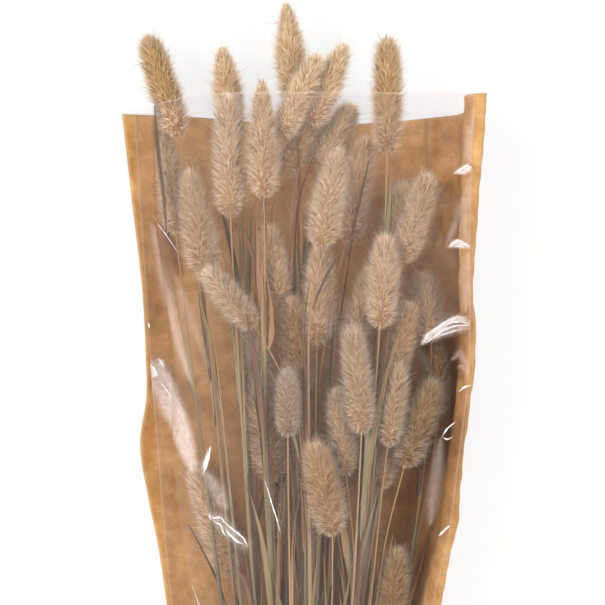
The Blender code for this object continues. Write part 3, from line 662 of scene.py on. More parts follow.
def film_finish():
    """Clear film: a thin haze, painted highlights where it crumples, painted shade in its creases,
    and a reflection edge on.
    """
    f = Finish("crinkled_clear_film")
    crackle = f.grain(1, 1, 0.30, 4.0, 0.65, 1.2)
    soft = f.grain(0.05, 0.02, 1.0, 3.0, 0.55)
    broken = f.step(crackle, 0.26, 0.62)
    # painted highlights, broken up where the film crumples
    white = (f.value("glint") * (0.55 + broken * 0.45)).held()
    haze = (0.008 + soft * 0.030) * (1.0 - f.value("clinging") * 0.9) + f.value("rim") * 0.14
    # painted shade in the creases: dark, duller and not mirroring there
    shadow = f.value("shadow")
    dark = shadow * 0.85
    cover = (haze + white * 0.80 + dark).held()
    tint = f.mix(white, (0.95, 0.72, 0.60), (0.98, 0.97, 0.98))
    tint = f.mix(dark.part_of(cover + 0.001), tint, (0.10, 0.065, 0.045))
    dents = f.bump(crackle * 0.6 + soft, 0.22, 0.0012)
    body = f.principled(base_color=tint, roughness=0.30 + shadow * 0.6, normal=dents)
    facing = f.node("LayerWeight", None, {"Blend": 0.5}, "Facing")
    mirror = ((0.014 + (facing ** 6) * 0.12) * (1.0 - shadow)).held()
    shine = f.node("BsdfAnisotropic", None,
                   {"Color": (1, 1, 1, 1), "Roughness": 0.09, "Normal": dents})
    clear = f.node("BsdfTransparent", None, {"Color": (0.972, 0.968, 0.978, 1)})
    pane = f.node("MixShader", None, {0: mirror, 1: clear, 2: shine})
    return f.done(f.node("MixShader", None, {0: cover, 1: pane, 2: body}))


def glint_strip_finish():
    """A painted highlight on the film: white and glossy, thinner in places, and fading out at its
    ends.
    """
    f = Finish("painted_film_glint")
    broken = f.grain(1, 1, 0.9, 2.0, 0.6)
    bright = (f.value("hue") * (0.45 + f.step(broken, 0.35, 0.60) * 0.55)).held()
    return f.surface(base_color=(0.97, 0.965, 0.98), roughness=0.12 + broken * 0.1, alpha=bright)


def fluff_finish():
    """Soft hairs: brown at the root, golden, then cream at the tip, and browner on a ripe head."""
    f = Finish("bunny_tail_fluff")
    along, shade, ripe = f.value("along"), f.value("shade"), f.value("ripe")
    young = f.ramp(along, (0.0, (0.24, 0.126, 0.056)), (0.24, (0.58, 0.352, 0.176)),
                   (0.48, (0.88, 0.655, 0.405)), (0.80, (0.98, 0.880, 0.705)))
    old = f.ramp(along, (0.0, (0.15, 0.065, 0.020)), (0.24, (0.44, 0.220, 0.070)),
                 (0.48, (0.70, 0.400, 0.155)), (0.80, (0.90, 0.660, 0.370)))
    colour = f.times(f.mix(ripe, young, old), (shade * 0.50 + 0.72) * f.value("bright"))
    return f.surface(base_color=colour, roughness=0.85, sheen_weight=0.35, sheen_roughness=0.5,
                     specular_ior_level=0.15)


DEEP_SHADE = 0.90  # painted shade on the lowest stems and blades in the pile: how dark it gets


def straw_finish():
    """Dried stems: streaks along the stem, from straw through sage and grey to red-brown."""
    f = Finish("dried_straw")
    streaks = f.grain(2.2, 0.035, 1.0, 3.0, 0.6)
    blotches = f.grain(0.25, 0.03, 1.0, 3.0, 0.6)
    hue = (f.value("hue") + (blotches - 0.5) * 0.35 + (streaks - 0.5) * 0.25).held()
    colour = f.ramp(hue, (0.0, (0.46, 0.280, 0.130)), (0.30, (0.29, 0.225, 0.115)),
                    (0.55, (0.19, 0.175, 0.100)), (0.75, (0.17, 0.150, 0.110)),
                    (0.88, (0.22, 0.105, 0.052)), (1.0, (0.12, 0.052, 0.028)))
    colour = f.mix(f.step(streaks, 0.35, 0.85) * 0.35, colour, (0.48, 0.360, 0.210))
    colour = f.mix(f.value("joint") * 0.75, colour, (0.16, 0.085, 0.040))
    colour = f.mix(f.value("pith") * 0.85, colour, (0.66, 0.560, 0.400))
    # painted shade deep in the pile
    colour = f.times(colour, 1.0 - f.value("deep") * DEEP_SHADE)
    return f.surface(base_color=colour, roughness=0.48 + streaks * 0.25,
                     normal=f.bump(streaks, 0.5, 0.0003))


def leaf_finish():
    """Dried blades and sheaths: veins, blotched from olive to brown, with paler brittle edges."""
    f = Finish("dried_leaf_blade")
    veins = f.grain(2.6, 0.02, 1.0, 2.0, 0.5)
    blotches = f.grain(0.22, 0.045, 1.0, 4.0, 0.65)
    hue = (f.value("hue") + (blotches - 0.5) * 0.35).held()
    colour = f.ramp(hue, (0.0, (0.36, 0.350, 0.240)), (0.20, (0.24, 0.205, 0.090)),
                    (0.40, (0.38, 0.250, 0.115)), (0.60, (0.44, 0.215, 0.100)),
                    (0.80, (0.22, 0.090, 0.045)), (1.0, (0.075, 0.055, 0.047)))
    colour = f.mix(f.step(veins, 0.40, 0.75) * 0.30, colour, (0.46, 0.340, 0.190))
    colour = f.mix(f.value("margin") * 0.25, colour, (0.50, 0.370, 0.210))
    # painted shade deep in the pile
    colour = f.times(colour, 1.0 - f.value("deep") * DEEP_SHADE)
    return f.surface(base_color=colour, roughness=0.55 + blotches * 0.25,
                     normal=f.bump(veins, 0.7, 0.0004))


def band_finish():
    """Natural rubber band: amber, a little dusty, with fine lines round it."""
    f = Finish("amber_rubber_band")
    lines = f.grain(0.05, 3.0, 1.0, 2.0, 0.5)
    dust = f.grain(0.30, 0.6, 1.0, 3.0, 0.6)
    colour = f.ramp(dust, (0.30, (0.50, 0.290, 0.085)), (0.70, (0.62, 0.400, 0.160)))
    colour = f.mix(f.step(lines, 0.55, 0.75) * 0.4, colour, (0.38, 0.200, 0.060))
    return f.surface(base_color=colour, roughness=0.42 + dust * 0.2,
                     normal=f.bump(lines, 0.5, 0.0003))


# Sleeve


def panel(name, places, finish, nodes, thickness, values):
    """A sheet on a grid of places, given its thickness above them."""
    rows, columns = places.shape[:2]
    faces, at = grid_faces(rows, columns)
    steps = np.linalg.norm(np.diff(places, axis=1), axis=-1)
    along = np.concatenate([np.zeros((rows, 1)), np.cumsum(steps, axis=1)], 1)
    values = {"lay": vectors(along, places[..., 1], 0.0)} | values
    values = {key: np.squeeze(value.reshape(rows * columns, -1)) for key, value in values.items()}
    piece = add_piece(name, places.reshape(-1, 3), [faces], [finish], nodes, values,
                      whole_map(at, columns - 1, rows - 1))
    thicken(piece, thickness, 1.0)


def film_places():
    """The film's lower face: its section curves, lifted by folds and by gentle crumpling."""
    places = sleeve_grid(film_section, FILM_MOUTH, *FILM_GRID)
    flat = places[..., :2]
    across = np.linspace(0, 1, places.shape[1])
    free = fade(across, 0.02, 0.12) * fade(1 - across, 0.0, 0.06)
    lift = 0.55 + 0.45 * waves(flat * (1.6, 0.7), 34, 3) + 0.22 * waves(flat * (1.3, 0.8), 11, 4)
    lift = lift.clip(0, 1.6) * free
    for points, width, height in FILM_FOLDS:
        lift = lift + height * stroke(flat, points, width) * np.minimum(1, free + 0.25)
    places[..., 2] += lift
    return places


def paper_places():
    """The paper's lower face: its section curves with soft waves in the free margin and wall."""
    places = sleeve_grid(paper_section, PAPER_MOUTH, *PAPER_GRID)
    flat = places[..., :2]
    raised = fade(places[..., 2], 0.5, 6.0)
    inner = fade(places[..., 0], 60, 70)
    places[..., 0] += raised * inner * 0.35 * waves(places[..., 1:] * (1, 0.6), 22, 11)
    places[..., 2] += raised * (1 - inner) * 0.25 * waves(flat, 18, 12).clip(-1, 1)
    return places


def edge_distances(places):
    """How far each place is from its sheet's left, right, upper and lower edge."""
    x, y = places[..., 0], places[..., 1]
    return np.array([x - x[:, :1], x[:, -1:] - x, y[-1:] - y, y - y[:1]])


def add_sleeve():
    """The kraft back with its right wall, and the film over it. Gives the places of both."""
    paper = paper_places()
    flat = paper[..., :2]
    tone = np.ones(paper.shape[:2])
    # painted shade and light on the paper, with the painted shadows of its creases
    for x, y, wide, tall, factor in PAPER_SHADE_AND_LIGHT:
        away = ((flat[..., 0] - x) / wide) ** 2 + ((flat[..., 1] - y) / tall) ** 2
        tone *= 1 + (factor - 1) * np.exp(-away)
    for points, width, strength in PAPER_CREASE_SHADOWS:
        tone *= 1 - strength * stroke(flat, points, width, taper=False)
    tone = tone[..., None]
    panel("kraft_back", paper, kraft_finish(), ["sleeve_back"], PAPER_THICK, {
        "clinging": np.max([patch(flat, outline, 0.6) for outline in CLINGS], axis=0),
        "tone": np.where(tone < 1, tone ** np.array(SHADE_HUE_POWERS), np.repeat(tone, 3, 2)),
        "worn": 1 - fade(edge_distances(paper)[:3].min(0), 0.0, 0.9)})
    film = film_places()
    flat = film[..., :2]
    # painted highlights and painted sheen on the film
    glints = [strength * patch(flat, outline, CRISP_EDGE if strength > CRISP_FROM else SOFT_EDGE)
              for outline, strength in GLINTS]
    glints += [strength * stroke(flat, points, width) for points, width, strength in GLINT_LINES]
    clear = [patch(flat, outline, 0.35) for outline in CLINGS] + [patch(flat, CLEAR_SIDE, 8.0)]
    # painted shadows in the film's creases
    shadows = [strength * stroke(flat, points, width) for points, width, strength in FILM_SHADOWS]
    panel("film_front", film, film_finish(), ["sleeve_front"], FILM_THICK, {
        "glint": np.max(glints, axis=0), "clinging": np.max(clear, axis=0),
        "rim": 1 - fade(edge_distances(film).min(0), 0.3, 0.9), "shadow": np.max(shadows, axis=0)})
    return film, paper


# The room inside the sleeve, which keeps hairs from poking through

ROOM_STEP = 0.5  # across the sleeve; along it, the step is 1
WALL_FROM_Z = 3  # from this height the paper's right side counts as the wall
WALL_MARGIN, FILM_MARGIN, PAPER_MARGIN = 0.5, 0.35, 0.1


class Room:
    """Heights of the film above and the paper below, and the wall at the right, on a level grid."""

    def __init__(self, film, paper):
        self.x = np.arange(-95.0, 95.5, ROOM_STEP)
        self.y = np.arange(SLEEVE_FOOT_Y, 264.0, 1.0)
        self.above = self.sheet(film, -20.0)
        self.below = self.sheet(paper, 0.0)
        self.wall = np.array([p[(p[:, 2] > WALL_FROM_Z) & (p[:, 0] > 0), 0].min()
                              for p in self.rows(paper)])

    def rows(self, places):
        y = places[:, places.shape[1] // 2, 1]
        return places[np.searchsorted(y, self.y).clip(0, len(y) - 1)]

    def sheet(self, places, outside):
        """Heights across each row; at the left of the sheet they are the outside's."""
        return np.array([np.interp(self.x, p[:, 0], p[:, 2], left=outside)
                         for p in self.rows(places)])

    def height(self, x, y):
        """The film's lower face at these places, between the grid's nearest points."""
        row = (y - self.y[0]).clip(0, len(self.y) - 1.001)
        column = ((x - self.x[0]) / ROOM_STEP).clip(0, len(self.x) - 1.001)
        r, c = row.astype(int), column.astype(int)
        u, v = row - r, column - c
        near = self.above[r, c] * (1 - v) + self.above[r, c + 1] * v
        far = self.above[r + 1, c] * (1 - v) + self.above[r + 1, c + 1] * v
        return near * (1 - u) + far * u

    def keep(self, points):
        """Points moved under the film, over the paper and clear of the wall."""
        x, y, z = np.moveaxis(points.copy(), -1, 0)
        row = np.round(y - self.y[0]).astype(int)
        within = row < len(self.y)
        row = row.clip(0, len(self.y) - 1)
        x = np.where(within, np.minimum(x, self.wall[row] - WALL_MARGIN), x)
        column = np.round((x - self.x[0]) / ROOM_STEP).astype(int).clip(0, len(self.x) - 1)
        z = np.where(within, np.minimum(z, self.above[row, column] - FILM_MARGIN), z)
        lowest = self.below[row, column] + PAPER_THICK + PAPER_MARGIN
        return vectors(x, y, np.maximum(z, np.where(within, lowest, PAPER_MARGIN)))


# Stalks, heads and strips

FLUFF, STRAW = 0, 1  # the finishes of a stalk
PILE_X = (4, 34, 52)  # the pile of stems: its middle, and how far from it the pile thins out
PILE_TOP_Y, PILE_FOOT_Y, PILE_Z = (85, 140), (-232, -190), (7, 32)


def buried(points):
    """How deep in the pile of stems each point is: 1 at its bottom, 0 on its top and outside it."""
    x, y, z = np.moveaxis(points, -1, 0)
    pile = (1 - fade(np.abs(x - PILE_X[0]), *PILE_X[1:])) * (1 - fade(y, *PILE_TOP_Y))
    return pile * fade(y, *PILE_FOOT_Y) * (1 - fade(z, *PILE_Z))


class Shape:
    """Points, faces, values and places in the bake's map, gathered for one piece."""

    def __init__(self):
        self.points, self.faces, self.kinds, self.maps, self.normals = [], [], [], [], []
        self.values, self.count = [], 0

    def add(self, points, normals, faces, corner_maps, kind, values):
        self.points.append(points)
        self.normals.append(normals)
        self.values.append({"deep": buried(points)} | values)
        for corners, corner_map in zip(faces, corner_maps):
            self.faces.append(corners + self.count)
            self.kinds.append(kind)
            self.maps.append(corner_map.reshape(-1, 2))
        self.count += len(points)

    def piece(self, name, finishes, slot, nodes, **everywhere):
        """The piece. A value given here holds all over it, and one that a part lacks is 0 there."""
        parts = [part | everywhere for part in self.values]
        counts = [len(points) for points in self.points]
        values = {key: np.concatenate([
            np.broadcast_to(part.get(key, 0.0), (count, 3) if key == "lay" else (count,))
            for part, count in zip(parts, counts)]) for key in sorted(set().union(*parts))}
        return add_piece(name, np.concatenate(self.points), self.faces, finishes, nodes,
                         values, np.concatenate(self.maps), self.kinds,
                         np.concatenate(self.normals))


CAP_SHARE = 0.03  # of a tube's place in the bake's map, for each end


def add_tube(shape, centre, radius, sides, kind, map_box, values, hollow=0.0):
    """A closed round skin along a line.

    Each ring is its centre plus the radius times the cosine of the turn sideways and its sine
    upwards, and each end closes to a point, pushed in by hollow at the far end.
    """
    ahead = unit(np.gradient(centre, axis=0))
    side = unit(np.cross(ahead, (0, 0, 1)))
    up = np.cross(ahead, side)
    turn = ring_turns(sides)
    out = turned(turn, side[:, None], up[:, None])
    rings = centre[:, None] + radius[:, None, None] * out
    poles = np.array([centre[0], centre[-1] - hollow * ahead[-1]])
    points = np.concatenate([rings.reshape(-1, 3), poles])
    normals = np.concatenate([out.reshape(-1, 3), [-ahead[0], ahead[-1]]])
    rows = len(centre)
    quads, at = grid_faces(rows, sides, ring=True)
    ring = np.arange(sides)
    after, last = (ring + 1) % sides, (rows - 1) * sides
    top = np.column_stack([after, ring, np.full(sides, rows * sides)])
    bottom = np.column_stack([ring + last, after + last, np.full(sides, rows * sides + 1)])
    body = CAP_SHARE + (1 - 2 * CAP_SHARE) * at[..., 0] / (rows - 1)
    fan = np.column_stack([ring + 1, ring, ring + 0.5]) / sides
    near, far = (np.tile([edge, edge, pole], (sides, 1))
                 for edge, pole in ((CAP_SHARE, 0.0), (1 - CAP_SHARE, 1.0)))
    low, high = np.array(map_box[:2]), np.array(map_box[2:])
    maps = [low + (high - low) * vectors(*pair) for pair in (
        (at[..., 1] / sides, body), (fan, near), (fan[:, [1, 0, 2]], far))]
    spread = {key: np.concatenate([np.repeat(value, sides, axis=0), value[[0, -1]]])
              if np.ndim(value) else value for key, value in values.items()}
    if "lay" in values:
        spread["lay"][: rows * sides, 0] += np.tile(turn.ravel(), rows) * np.repeat(radius, sides)
    shape.add(points, normals, [quads, top, bottom], maps, kind, spread)


def add_strands(shape, root, ahead, curl, length, width, turn, outward, rows, shade, ripe, end,
                room):
    """Thin tapering hairs: root plus length times (t along ahead, t squared along curl), t 0 to 1.

    Each narrows to a point, and turn is its own twist. Their colour runs from 0 at the root to end
    at the tip.
    """
    t = np.linspace(0, 1, rows)
    line = root[:, None] + length[:, None, None] * (
        t[None, :, None] * ahead[:, None] + (t**2)[None, :, None] * curl[:, None])
    across = unit(np.cross(ahead, outward))
    side = turned(turn[:, None], across, np.cross(across, ahead))
    face = np.cross(side, ahead)
    sign = np.where((face * outward).sum(-1) < 0, -1.0, 1.0)[:, None]
    side, face = side * sign, face * sign
    half = 0.5 * width * (1 - 0.55 * t[None, :-1, None] ** 1.5) * side[:, None]
    count, pairs = len(root), rows - 1
    each = 2 * pairs + 1
    edges = np.stack([line[:, :-1] - half, line[:, :-1] + half], 2).reshape(count, -1, 3)
    points = room.keep(np.concatenate([edges, line[:, -1:]], 1))
    along = end * np.concatenate([np.repeat(t[:-1], 2), [1.0]])
    normals = unit(0.8 * outward[:, None] + 0.2 * face[:, None]
                   + 0.25 * along[None, :, None] * ahead[:, None])
    first = np.arange(count)[:, None] * each
    quads = [first + 2 * k + np.array([[0, 1, 3, 2]]) for k in range(pairs - 1)]
    tips = first + 2 * pairs + np.array([[-2, -1, 0]])
    faces = [np.concatenate(quads), tips] if quads else [tips]
    beside = np.concatenate([np.tile([-1.0, 1.0], pairs), [0.0]])
    u = 0.02 + 0.40 * np.minimum(shade, 1.0)[:, None] + 0.006 * beside[None, :]
    places = vectors(u, 0.02 + 0.96 * along).reshape(-1, 2)
    shape.add(points.reshape(-1, 3), normals.reshape(-1, 3), faces, [places[f] for f in faces],
              FLUFF, {"along": np.tile(along, count), "shade": np.repeat(shade, each),
                      "ripe": np.repeat(ripe, each)})


GOLDEN_TURN = 2.39996
# Along a head, as shares of the way from its base to its tip
OUTLINE = (  # radius, as a share of the head's
    (-0.02, 0.36), (0.0, 0.52), (0.06, 0.84), (0.20, 1.00), (0.46, 1.00), (0.74, 0.95),
    (0.92, 0.77), (1.00, 0.46), (1.06, 0.16),
)
LEAN = ((-0.02, 150), (0.02, 122), (0.07, 100), (0.20, 80), (0.55, 70), (0.85, 54), (1.0, 16))
CAP = ((-0.02, -0.9), (0.15, -0.15), (0.6, 0.1), (0.85, 0.6), (1.0, 2.0))  # how far it faces ahead
LONGEST = ((-0.02, 3.2), (0.03, 4.2), (0.10, 10.0))
LAYERS = (  # tufts, hairs in each, rows of points, reach, more lean, width, colour's end, shade
    (1800, 1, 2, 0.88, 6, 0.44, 0.52, 0.46),
    (1300, 3, 2, 1.09, 0, 0.28, 0.95, 0.58),
    (900, 1, 3, 1.16, -3, 0.20, 1.00, 0.62),
    (2300, 1, 2, 1.36, -8, 0.14, 1.00, 0.72),
)
AWNS = 80
AWN_WIDTH = 0.17
# Heads, counted from 0, that are more or less drawn to a point, or paler at the base (partly
# painted light), than most
POINTED = {
    0: 0.1, 1: 0.7, 2: 0.0, 3: 0.7, 4: 0.9, 5: 0.3, 6: 0.6, 9: 0.0, 11: 0.5, 12: 0.6, 13: 0.6,
}
PALE_LIT_BASE = {0: 1.3, 3: 0.5, 12: 0.4}
MOST_POINTED, MOST_PALE_LIT_BASE = 0.15, 0.3


def add_fluff(shape, base, tip, radius, pointed, pale_lit_base, ripe, room, draw):
    """A head's fluff: a plain core, and round it tufts on a golden spiral that lean to the tip.

    A hair's root is a share of the outline's radius away from the axis. Its length is what brings
    its end to the outline, and its angle to the axis falls from the base to the tip. pointed draws
    the outline in towards the tip, and the next argument makes the hairs at the base paler, partly
    as painted light. A few longer awns stand out between the hairs.
    """
    axis = tip - base
    ahead = axis / np.linalg.norm(axis)
    side = unit(np.cross(ahead, (0, 0, 1)))
    up = np.cross(ahead, side)

    def size(share):
        return radius * straight(OUTLINE, share) * (1 - 0.46 * pointed * fade(share, 0.42, 1.0))

    def directions(share, turn, lean, sway):
        """Away from the axis, along the hair, and the way that the fluff faces."""
        turn, lean, sway = turn[:, None], lean[:, None], sway[:, None]
        radial, around = turned(turn, side, up), turned(turn, up, -side)
        heading = turned(lean, ahead, turned(sway, radial, around))
        return radial, heading, unit(radial + straight(CAP, share)[:, None] * ahead)

    def ripeness(share):
        """Cream at the base, ripening towards the tip, and uneven from hair to hair."""
        ripening = (0.25 + 0.75 * fade(share, 0.04, 0.45)) * (1 - 0.45 * fade(share, 0.80, 1.0))
        return (ripe * ripening + draw.normal(0, 0.09, len(share))).clip(0, 1)

    shares = np.linspace(-0.02, 1.02, 15)
    add_tube(shape, base + axis * shares[:, None], 0.62 * size(shares), 14, FLUFF,
             (0.46, 0.02, 0.60, 0.98),
             {"along": 0.12 + 0.10 * draw.random(len(shares)), "shade": 0.4, "ripe": ripe})
    for tufts, each, rows, reach, more, width, end, light in LAYERS:
        tuft = np.repeat(np.arange(tufts), each)
        count = len(tuft)
        share = ((tuft + 0.5) / tufts) ** 0.94 * 1.01 - 0.01 + draw.normal(0, 0.014, tufts)[tuft]
        share = share + draw.normal(0, 0.008, count)
        fan = draw.normal(0, 1, count)
        turn = tuft * GOLDEN_TURN + draw.normal(0, 0.30, tufts)[tuft] + 0.06 * fan
        lean = np.radians(straight(LEAN, share) + more + draw.normal(0, 6, tufts)[tuft]
                          + draw.normal(0, 8, count))
        sway = draw.normal(0, 0.28, tufts)[tuft] + 0.18 * fan
        radial, heading, outward = directions(share, turn, lean, sway)
        start = size(share) * draw.uniform(0.30, 0.58, count)
        root = base + axis * share[:, None] + radial * start[:, None]
        goal = size(np.minimum(share + 0.06, 1.05)) * reach * draw.normal(1.0, 0.075, count)
        long = ((goal - start) / np.maximum(np.sin(lean), 0.42)).clip(2.0, 10.0)
        long = np.minimum(long, straight(LONGEST, share))
        curl = 0.24 * ahead + draw.normal(0, 0.09, (count, 3))
        shade = (light + draw.normal(0, 0.06, tufts)[tuft] + draw.normal(0, 0.11, count)).clip(0, 1)
        # hairs paler at the base, partly painted light, and paler at the tip
        shade += pale_lit_base * (1 - fade(share, 0.03, 0.30)) + 0.55 * fade(share, 0.78, 1.0)
        add_strands(shape, root, heading, curl, long, width, draw.normal(0, 0.7, count), outward,
                    rows, shade, ripeness(share), end, room)
    share = draw.uniform(0.02, 1.0, AWNS)
    turn = draw.uniform(0, 2 * math.pi, AWNS)
    lean = np.radians(straight(LEAN, share) + draw.normal(4, 12, AWNS))
    radial, heading, outward = directions(share, turn, lean, draw.normal(0, 0.25, AWNS))
    root = base + axis * share[:, None] + radial * (0.6 * size(share))[:, None]
    add_strands(shape, root, heading, 0.15 * ahead + draw.normal(0, 0.18, (AWNS, 3)),
                draw.uniform(5.5, 11.5, AWNS), AWN_WIDTH, draw.uniform(0, math.pi, AWNS), outward,
                4, draw.uniform(0.2, 0.7, AWNS), ripeness(share), 0.75, room)


def stalk_line(index):
    """A stalk's centre: from the head's axis down to the cut end, with the head's base and tip."""
    node = f"stalk_{index + 1:02d}"
    tip_y, base_y = HEADS[index][:2]
    middle = cuts(node, base_y + (tip_y - base_y) * np.array([0.35, 0.65]))[0]
    step = (middle[1] - middle[0]) / 0.3
    base = np.array([middle[0, 0] - 0.35 * step[0], base_y, middle[0, 1] - 0.35 * step[1]])
    tip = base + np.array([step[0], tip_y - base_y, step[1]])
    low_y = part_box(node)[0].y / MM + 0.4
    y = np.linspace(base_y - 1.5, low_y, int((base_y - low_y) / 3.2))
    line = cuts(node, y)[0]
    line = smoothed(vectors(line[:, 0], y, line[:, 1]), 4)
    inside = base + np.array([[0.3], [0.06]]) * (tip - base)
    return np.concatenate([inside, line]), base, tip


STEM_SIZES = ((0, 0.42), (45, 0.52), (110, 0.85), (170, 1.10), (600, 1.20))  # below head, radius
STEM_SIDES = 9


def add_stalk(index, stalk, finishes, room):
    """A stem with its joints, from inside the head down to a hollow cut end, and its head."""
    line, base, tip = stalk
    radius, ripe, bright = HEADS[index][2:]
    draw = np.random.default_rng(100 + index)
    below = (base[1] - line[:, 1]).clip(0)
    mouth = draw.uniform(70, 130)
    joints = mouth + draw.uniform(45, 70) * np.arange(1, 8)
    knots = np.exp(-(((below[:, None] - joints) / 2.2) ** 2)).sum(1)
    sheath = fade(below, mouth - 1.5, mouth + 1.5)
    size = straight(STEM_SIZES, below) * draw.uniform(0.68, 1.05)
    size = size * (1 + 0.12 * sheath + 0.2 * knots)
    hue = draw.uniform(0.12, 0.80)
    hue = np.interp(below, [0, 60, 150, 280], [0.02, 0.08 + 0.1 * hue, hue, min(1.0, hue + 0.12)])
    line = np.concatenate([line, line[-1:] + [[0, -0.02, 0]]])
    size = np.append(size, size[-1] * 0.55)
    below, hue, knots = (np.append(value, value[-1]) for value in (below, hue, knots))
    pith = np.zeros(len(line))
    pith[-1] = 1.0
    lay = vectors(7.0 * index, below, 3.0 * index)
    shape = Shape()
    add_tube(shape, line, size, STEM_SIDES, STRAW, (0.62, 0.02, 0.99, 0.98),
             {"lay": lay, "hue": hue, "joint": 0.6 * knots, "pith": pith}, hollow=0.8)
    add_fluff(shape, base, tip, radius, POINTED.get(index, MOST_POINTED),
              PALE_LIT_BASE.get(index, MOST_PALE_LIT_BASE), ripe, room, draw)
    shape.piece(f"bunny_tail_{index + 1:02d}", finishes, "dried_stalk",
                [f"stalk_{index + 1:02d}"], bright=bright)


STRIP_SIDES = 6


def add_strip(shape, line, width, across, thick, cup, map_box, values):
    """A dried strip, closed and thin, along a line.

    A point is the line plus the half width times cos(turn) along the way across, plus the
    thickness times sin(turn) square to it, for the turns round the strip. cup bends its edges.
    """
    ahead = unit(np.gradient(line, axis=0))
    across = unit(across - (across * ahead).sum(1, keepdims=True) * ahead)
    square = np.cross(ahead, across)
    turn = ring_turns(STRIP_SIDES)
    cup = cup * np.cos(turn) ** 2 * width[:, None, None]
    points = (line[:, None] + np.cos(turn) * (width[:, None] * across)[:, None]
              + (np.sin(turn) * thick + cup) * square[:, None])
    rows = len(line)
    quads, at = grid_faces(rows, STRIP_SIDES, ring=True)
    low, high = np.array(map_box[:2]), np.array(map_box[2:])
    over = low + (high - low) * at[..., ::-1] / np.array([STRIP_SIDES, rows - 1])
    normals = unit(np.sin(turn) * square[:, None] + 0.3 * np.cos(turn) * across[:, None])
    margin = np.tile(np.abs(np.cos(turn.ravel())) > 0.9, rows).astype(float)
    lay = values["lay"][:, None] + np.cos(turn) * width[:, None, None] * np.array([1.0, 0, 0])
    shape.add(points.reshape(-1, 3), normals.reshape(-1, 3), [quads], [over], 0,
              {"hue": np.repeat(values["hue"], STRIP_SIDES), "margin": margin,
               "lay": lay.reshape(-1, 3)})


RIDGE_THICK = 0.05
RIDGE_EDGE = 0.8  # how far a highlight strip stays inside the film's left edge


def add_glint_strips(room):
    """The film's painted highlights: thin, low white strips lying on its top."""
    shape = Shape()
    for index, (points, half) in enumerate(GLINT_STRIPS):
        points = np.array(points)
        along = distances(points)
        at = np.linspace(0, along[-1], max(12, int(along[-1] / 0.7)))
        x, y = (np.interp(at, along, points[:, k]) for k in (0, 1))
        x, y = smoothed(vectors(x, y), 1).T
        x = np.maximum(x, smooth(FILM_LEFT, y) + RIDGE_EDGE)
        z = room.height(x, y) + FILM_THICK + RIDGE_THICK + 0.01
        rise = np.sin(math.pi * (at / at[-1]))
        width = half * (0.10 + 0.90 * rise**0.7) * (1 + 0.25 * np.sin(at * 1.3 + index))
        across = vectors(-np.gradient(y), np.gradient(x), 0.0)
        add_strip(shape, vectors(x, y, z), width, across, RIDGE_THICK, RIDGE_THICK,
                  map_column(index, len(GLINT_STRIPS)), {"hue": rise**0.5, "lay": vectors(at, y, x)})
    shape.piece("film_glint_strips", [glint_strip_finish()], "clear_film", [])


SHEATHS_EACH = 8
SHEATH_THICK = 0.13
SHEATH_CUP = -0.35
SHEATH_HUES = ((0.05, 0.2, 0.4, 0.55, 0.75, 0.9), (0.2, 0.2, 0.15, 0.12, 0.18, 0.15))  # and chances
SHEATH_ROWS = 19
LOWEST_SHEATH_Y = -225
# A stem that passes the low head at the left has no strip there: its strips end further down
NEAR_HEAD_Y, NEAR_HEAD_X = 48, (-62, -30)
BARE_Y, LOWER_END_Y = (15, 80), -60


def add_sheaths(stalks, finish, room):
    """Dried leaf sheaths that cling to the stems and peel away from them, in one piece."""
    shape = Shape()
    draw = np.random.default_rng(7)
    total = SHEATHS_EACH * len(stalks)
    for index in range(total):
        stem, base, _ = stalks[index // SHEATHS_EACH]
        stem = stem[::-1]
        long = draw.uniform(35, 105)
        start = (base[1] - draw.uniform(60, 95) - 32 * (index % SHEATHS_EACH)
                 - draw.uniform(0, 30))
        start = max(start, LOWEST_SHEATH_Y + draw.uniform(0, 40))
        passes = NEAR_HEAD_X[0] < np.interp(NEAR_HEAD_Y, stem[:, 1], stem[:, 0]) < NEAR_HEAD_X[1]
        if passes and start < BARE_Y[1] and start + long > BARE_Y[0]:
            start = LOWER_END_Y - long
        y = np.linspace(start, min(start + long, base[1] - 12), SHEATH_ROWS)
        along = np.linspace(0, 1, len(y))
        x, z = (np.interp(y, stem[:, 1], stem[:, k]) for k in (0, 2))
        side, rise = draw.choice([-1.0, 1.0]), draw.uniform(-0.5, 1.0)
        away = 0.9 + draw.uniform(0.0, 9.0) * along ** draw.uniform(1.3, 3.0)
        wander = 0.5 * np.sin(along * draw.uniform(3, 9) + draw.uniform(0, 6)) * along
        line = vectors(x + side * away + wander, y, z + rise * away + wander[::-1])
        half = (draw.uniform(0.6, 2.1) * (0.55 + 0.45 * np.sin(math.pi * along**0.7))
                * (1 - 0.93 * along**4) * fade(along, -0.05, 0.03))
        roll = draw.uniform(-0.9, 0.9) + draw.uniform(-2.0, 2.0) * along
        across = vectors(np.cos(roll), 0.0, np.sin(roll))
        hue = (draw.choice(SHEATH_HUES[0], p=SHEATH_HUES[1]) + draw.uniform(-0.08, 0.08)
               + 0.15 * along)
        add_strip(shape, room.keep(line), half, across, SHEATH_THICK, SHEATH_CUP,
                  map_column(index, total),
                  {"hue": hue, "lay": vectors(11.0 * index, y, 5.0 * index)})
    shape.piece("dried_sheaths", [finish], "dried_leaf", [])


# Leaf blades

BLADE_THICK = 0.22
BLADE_GRID = (70, 11)


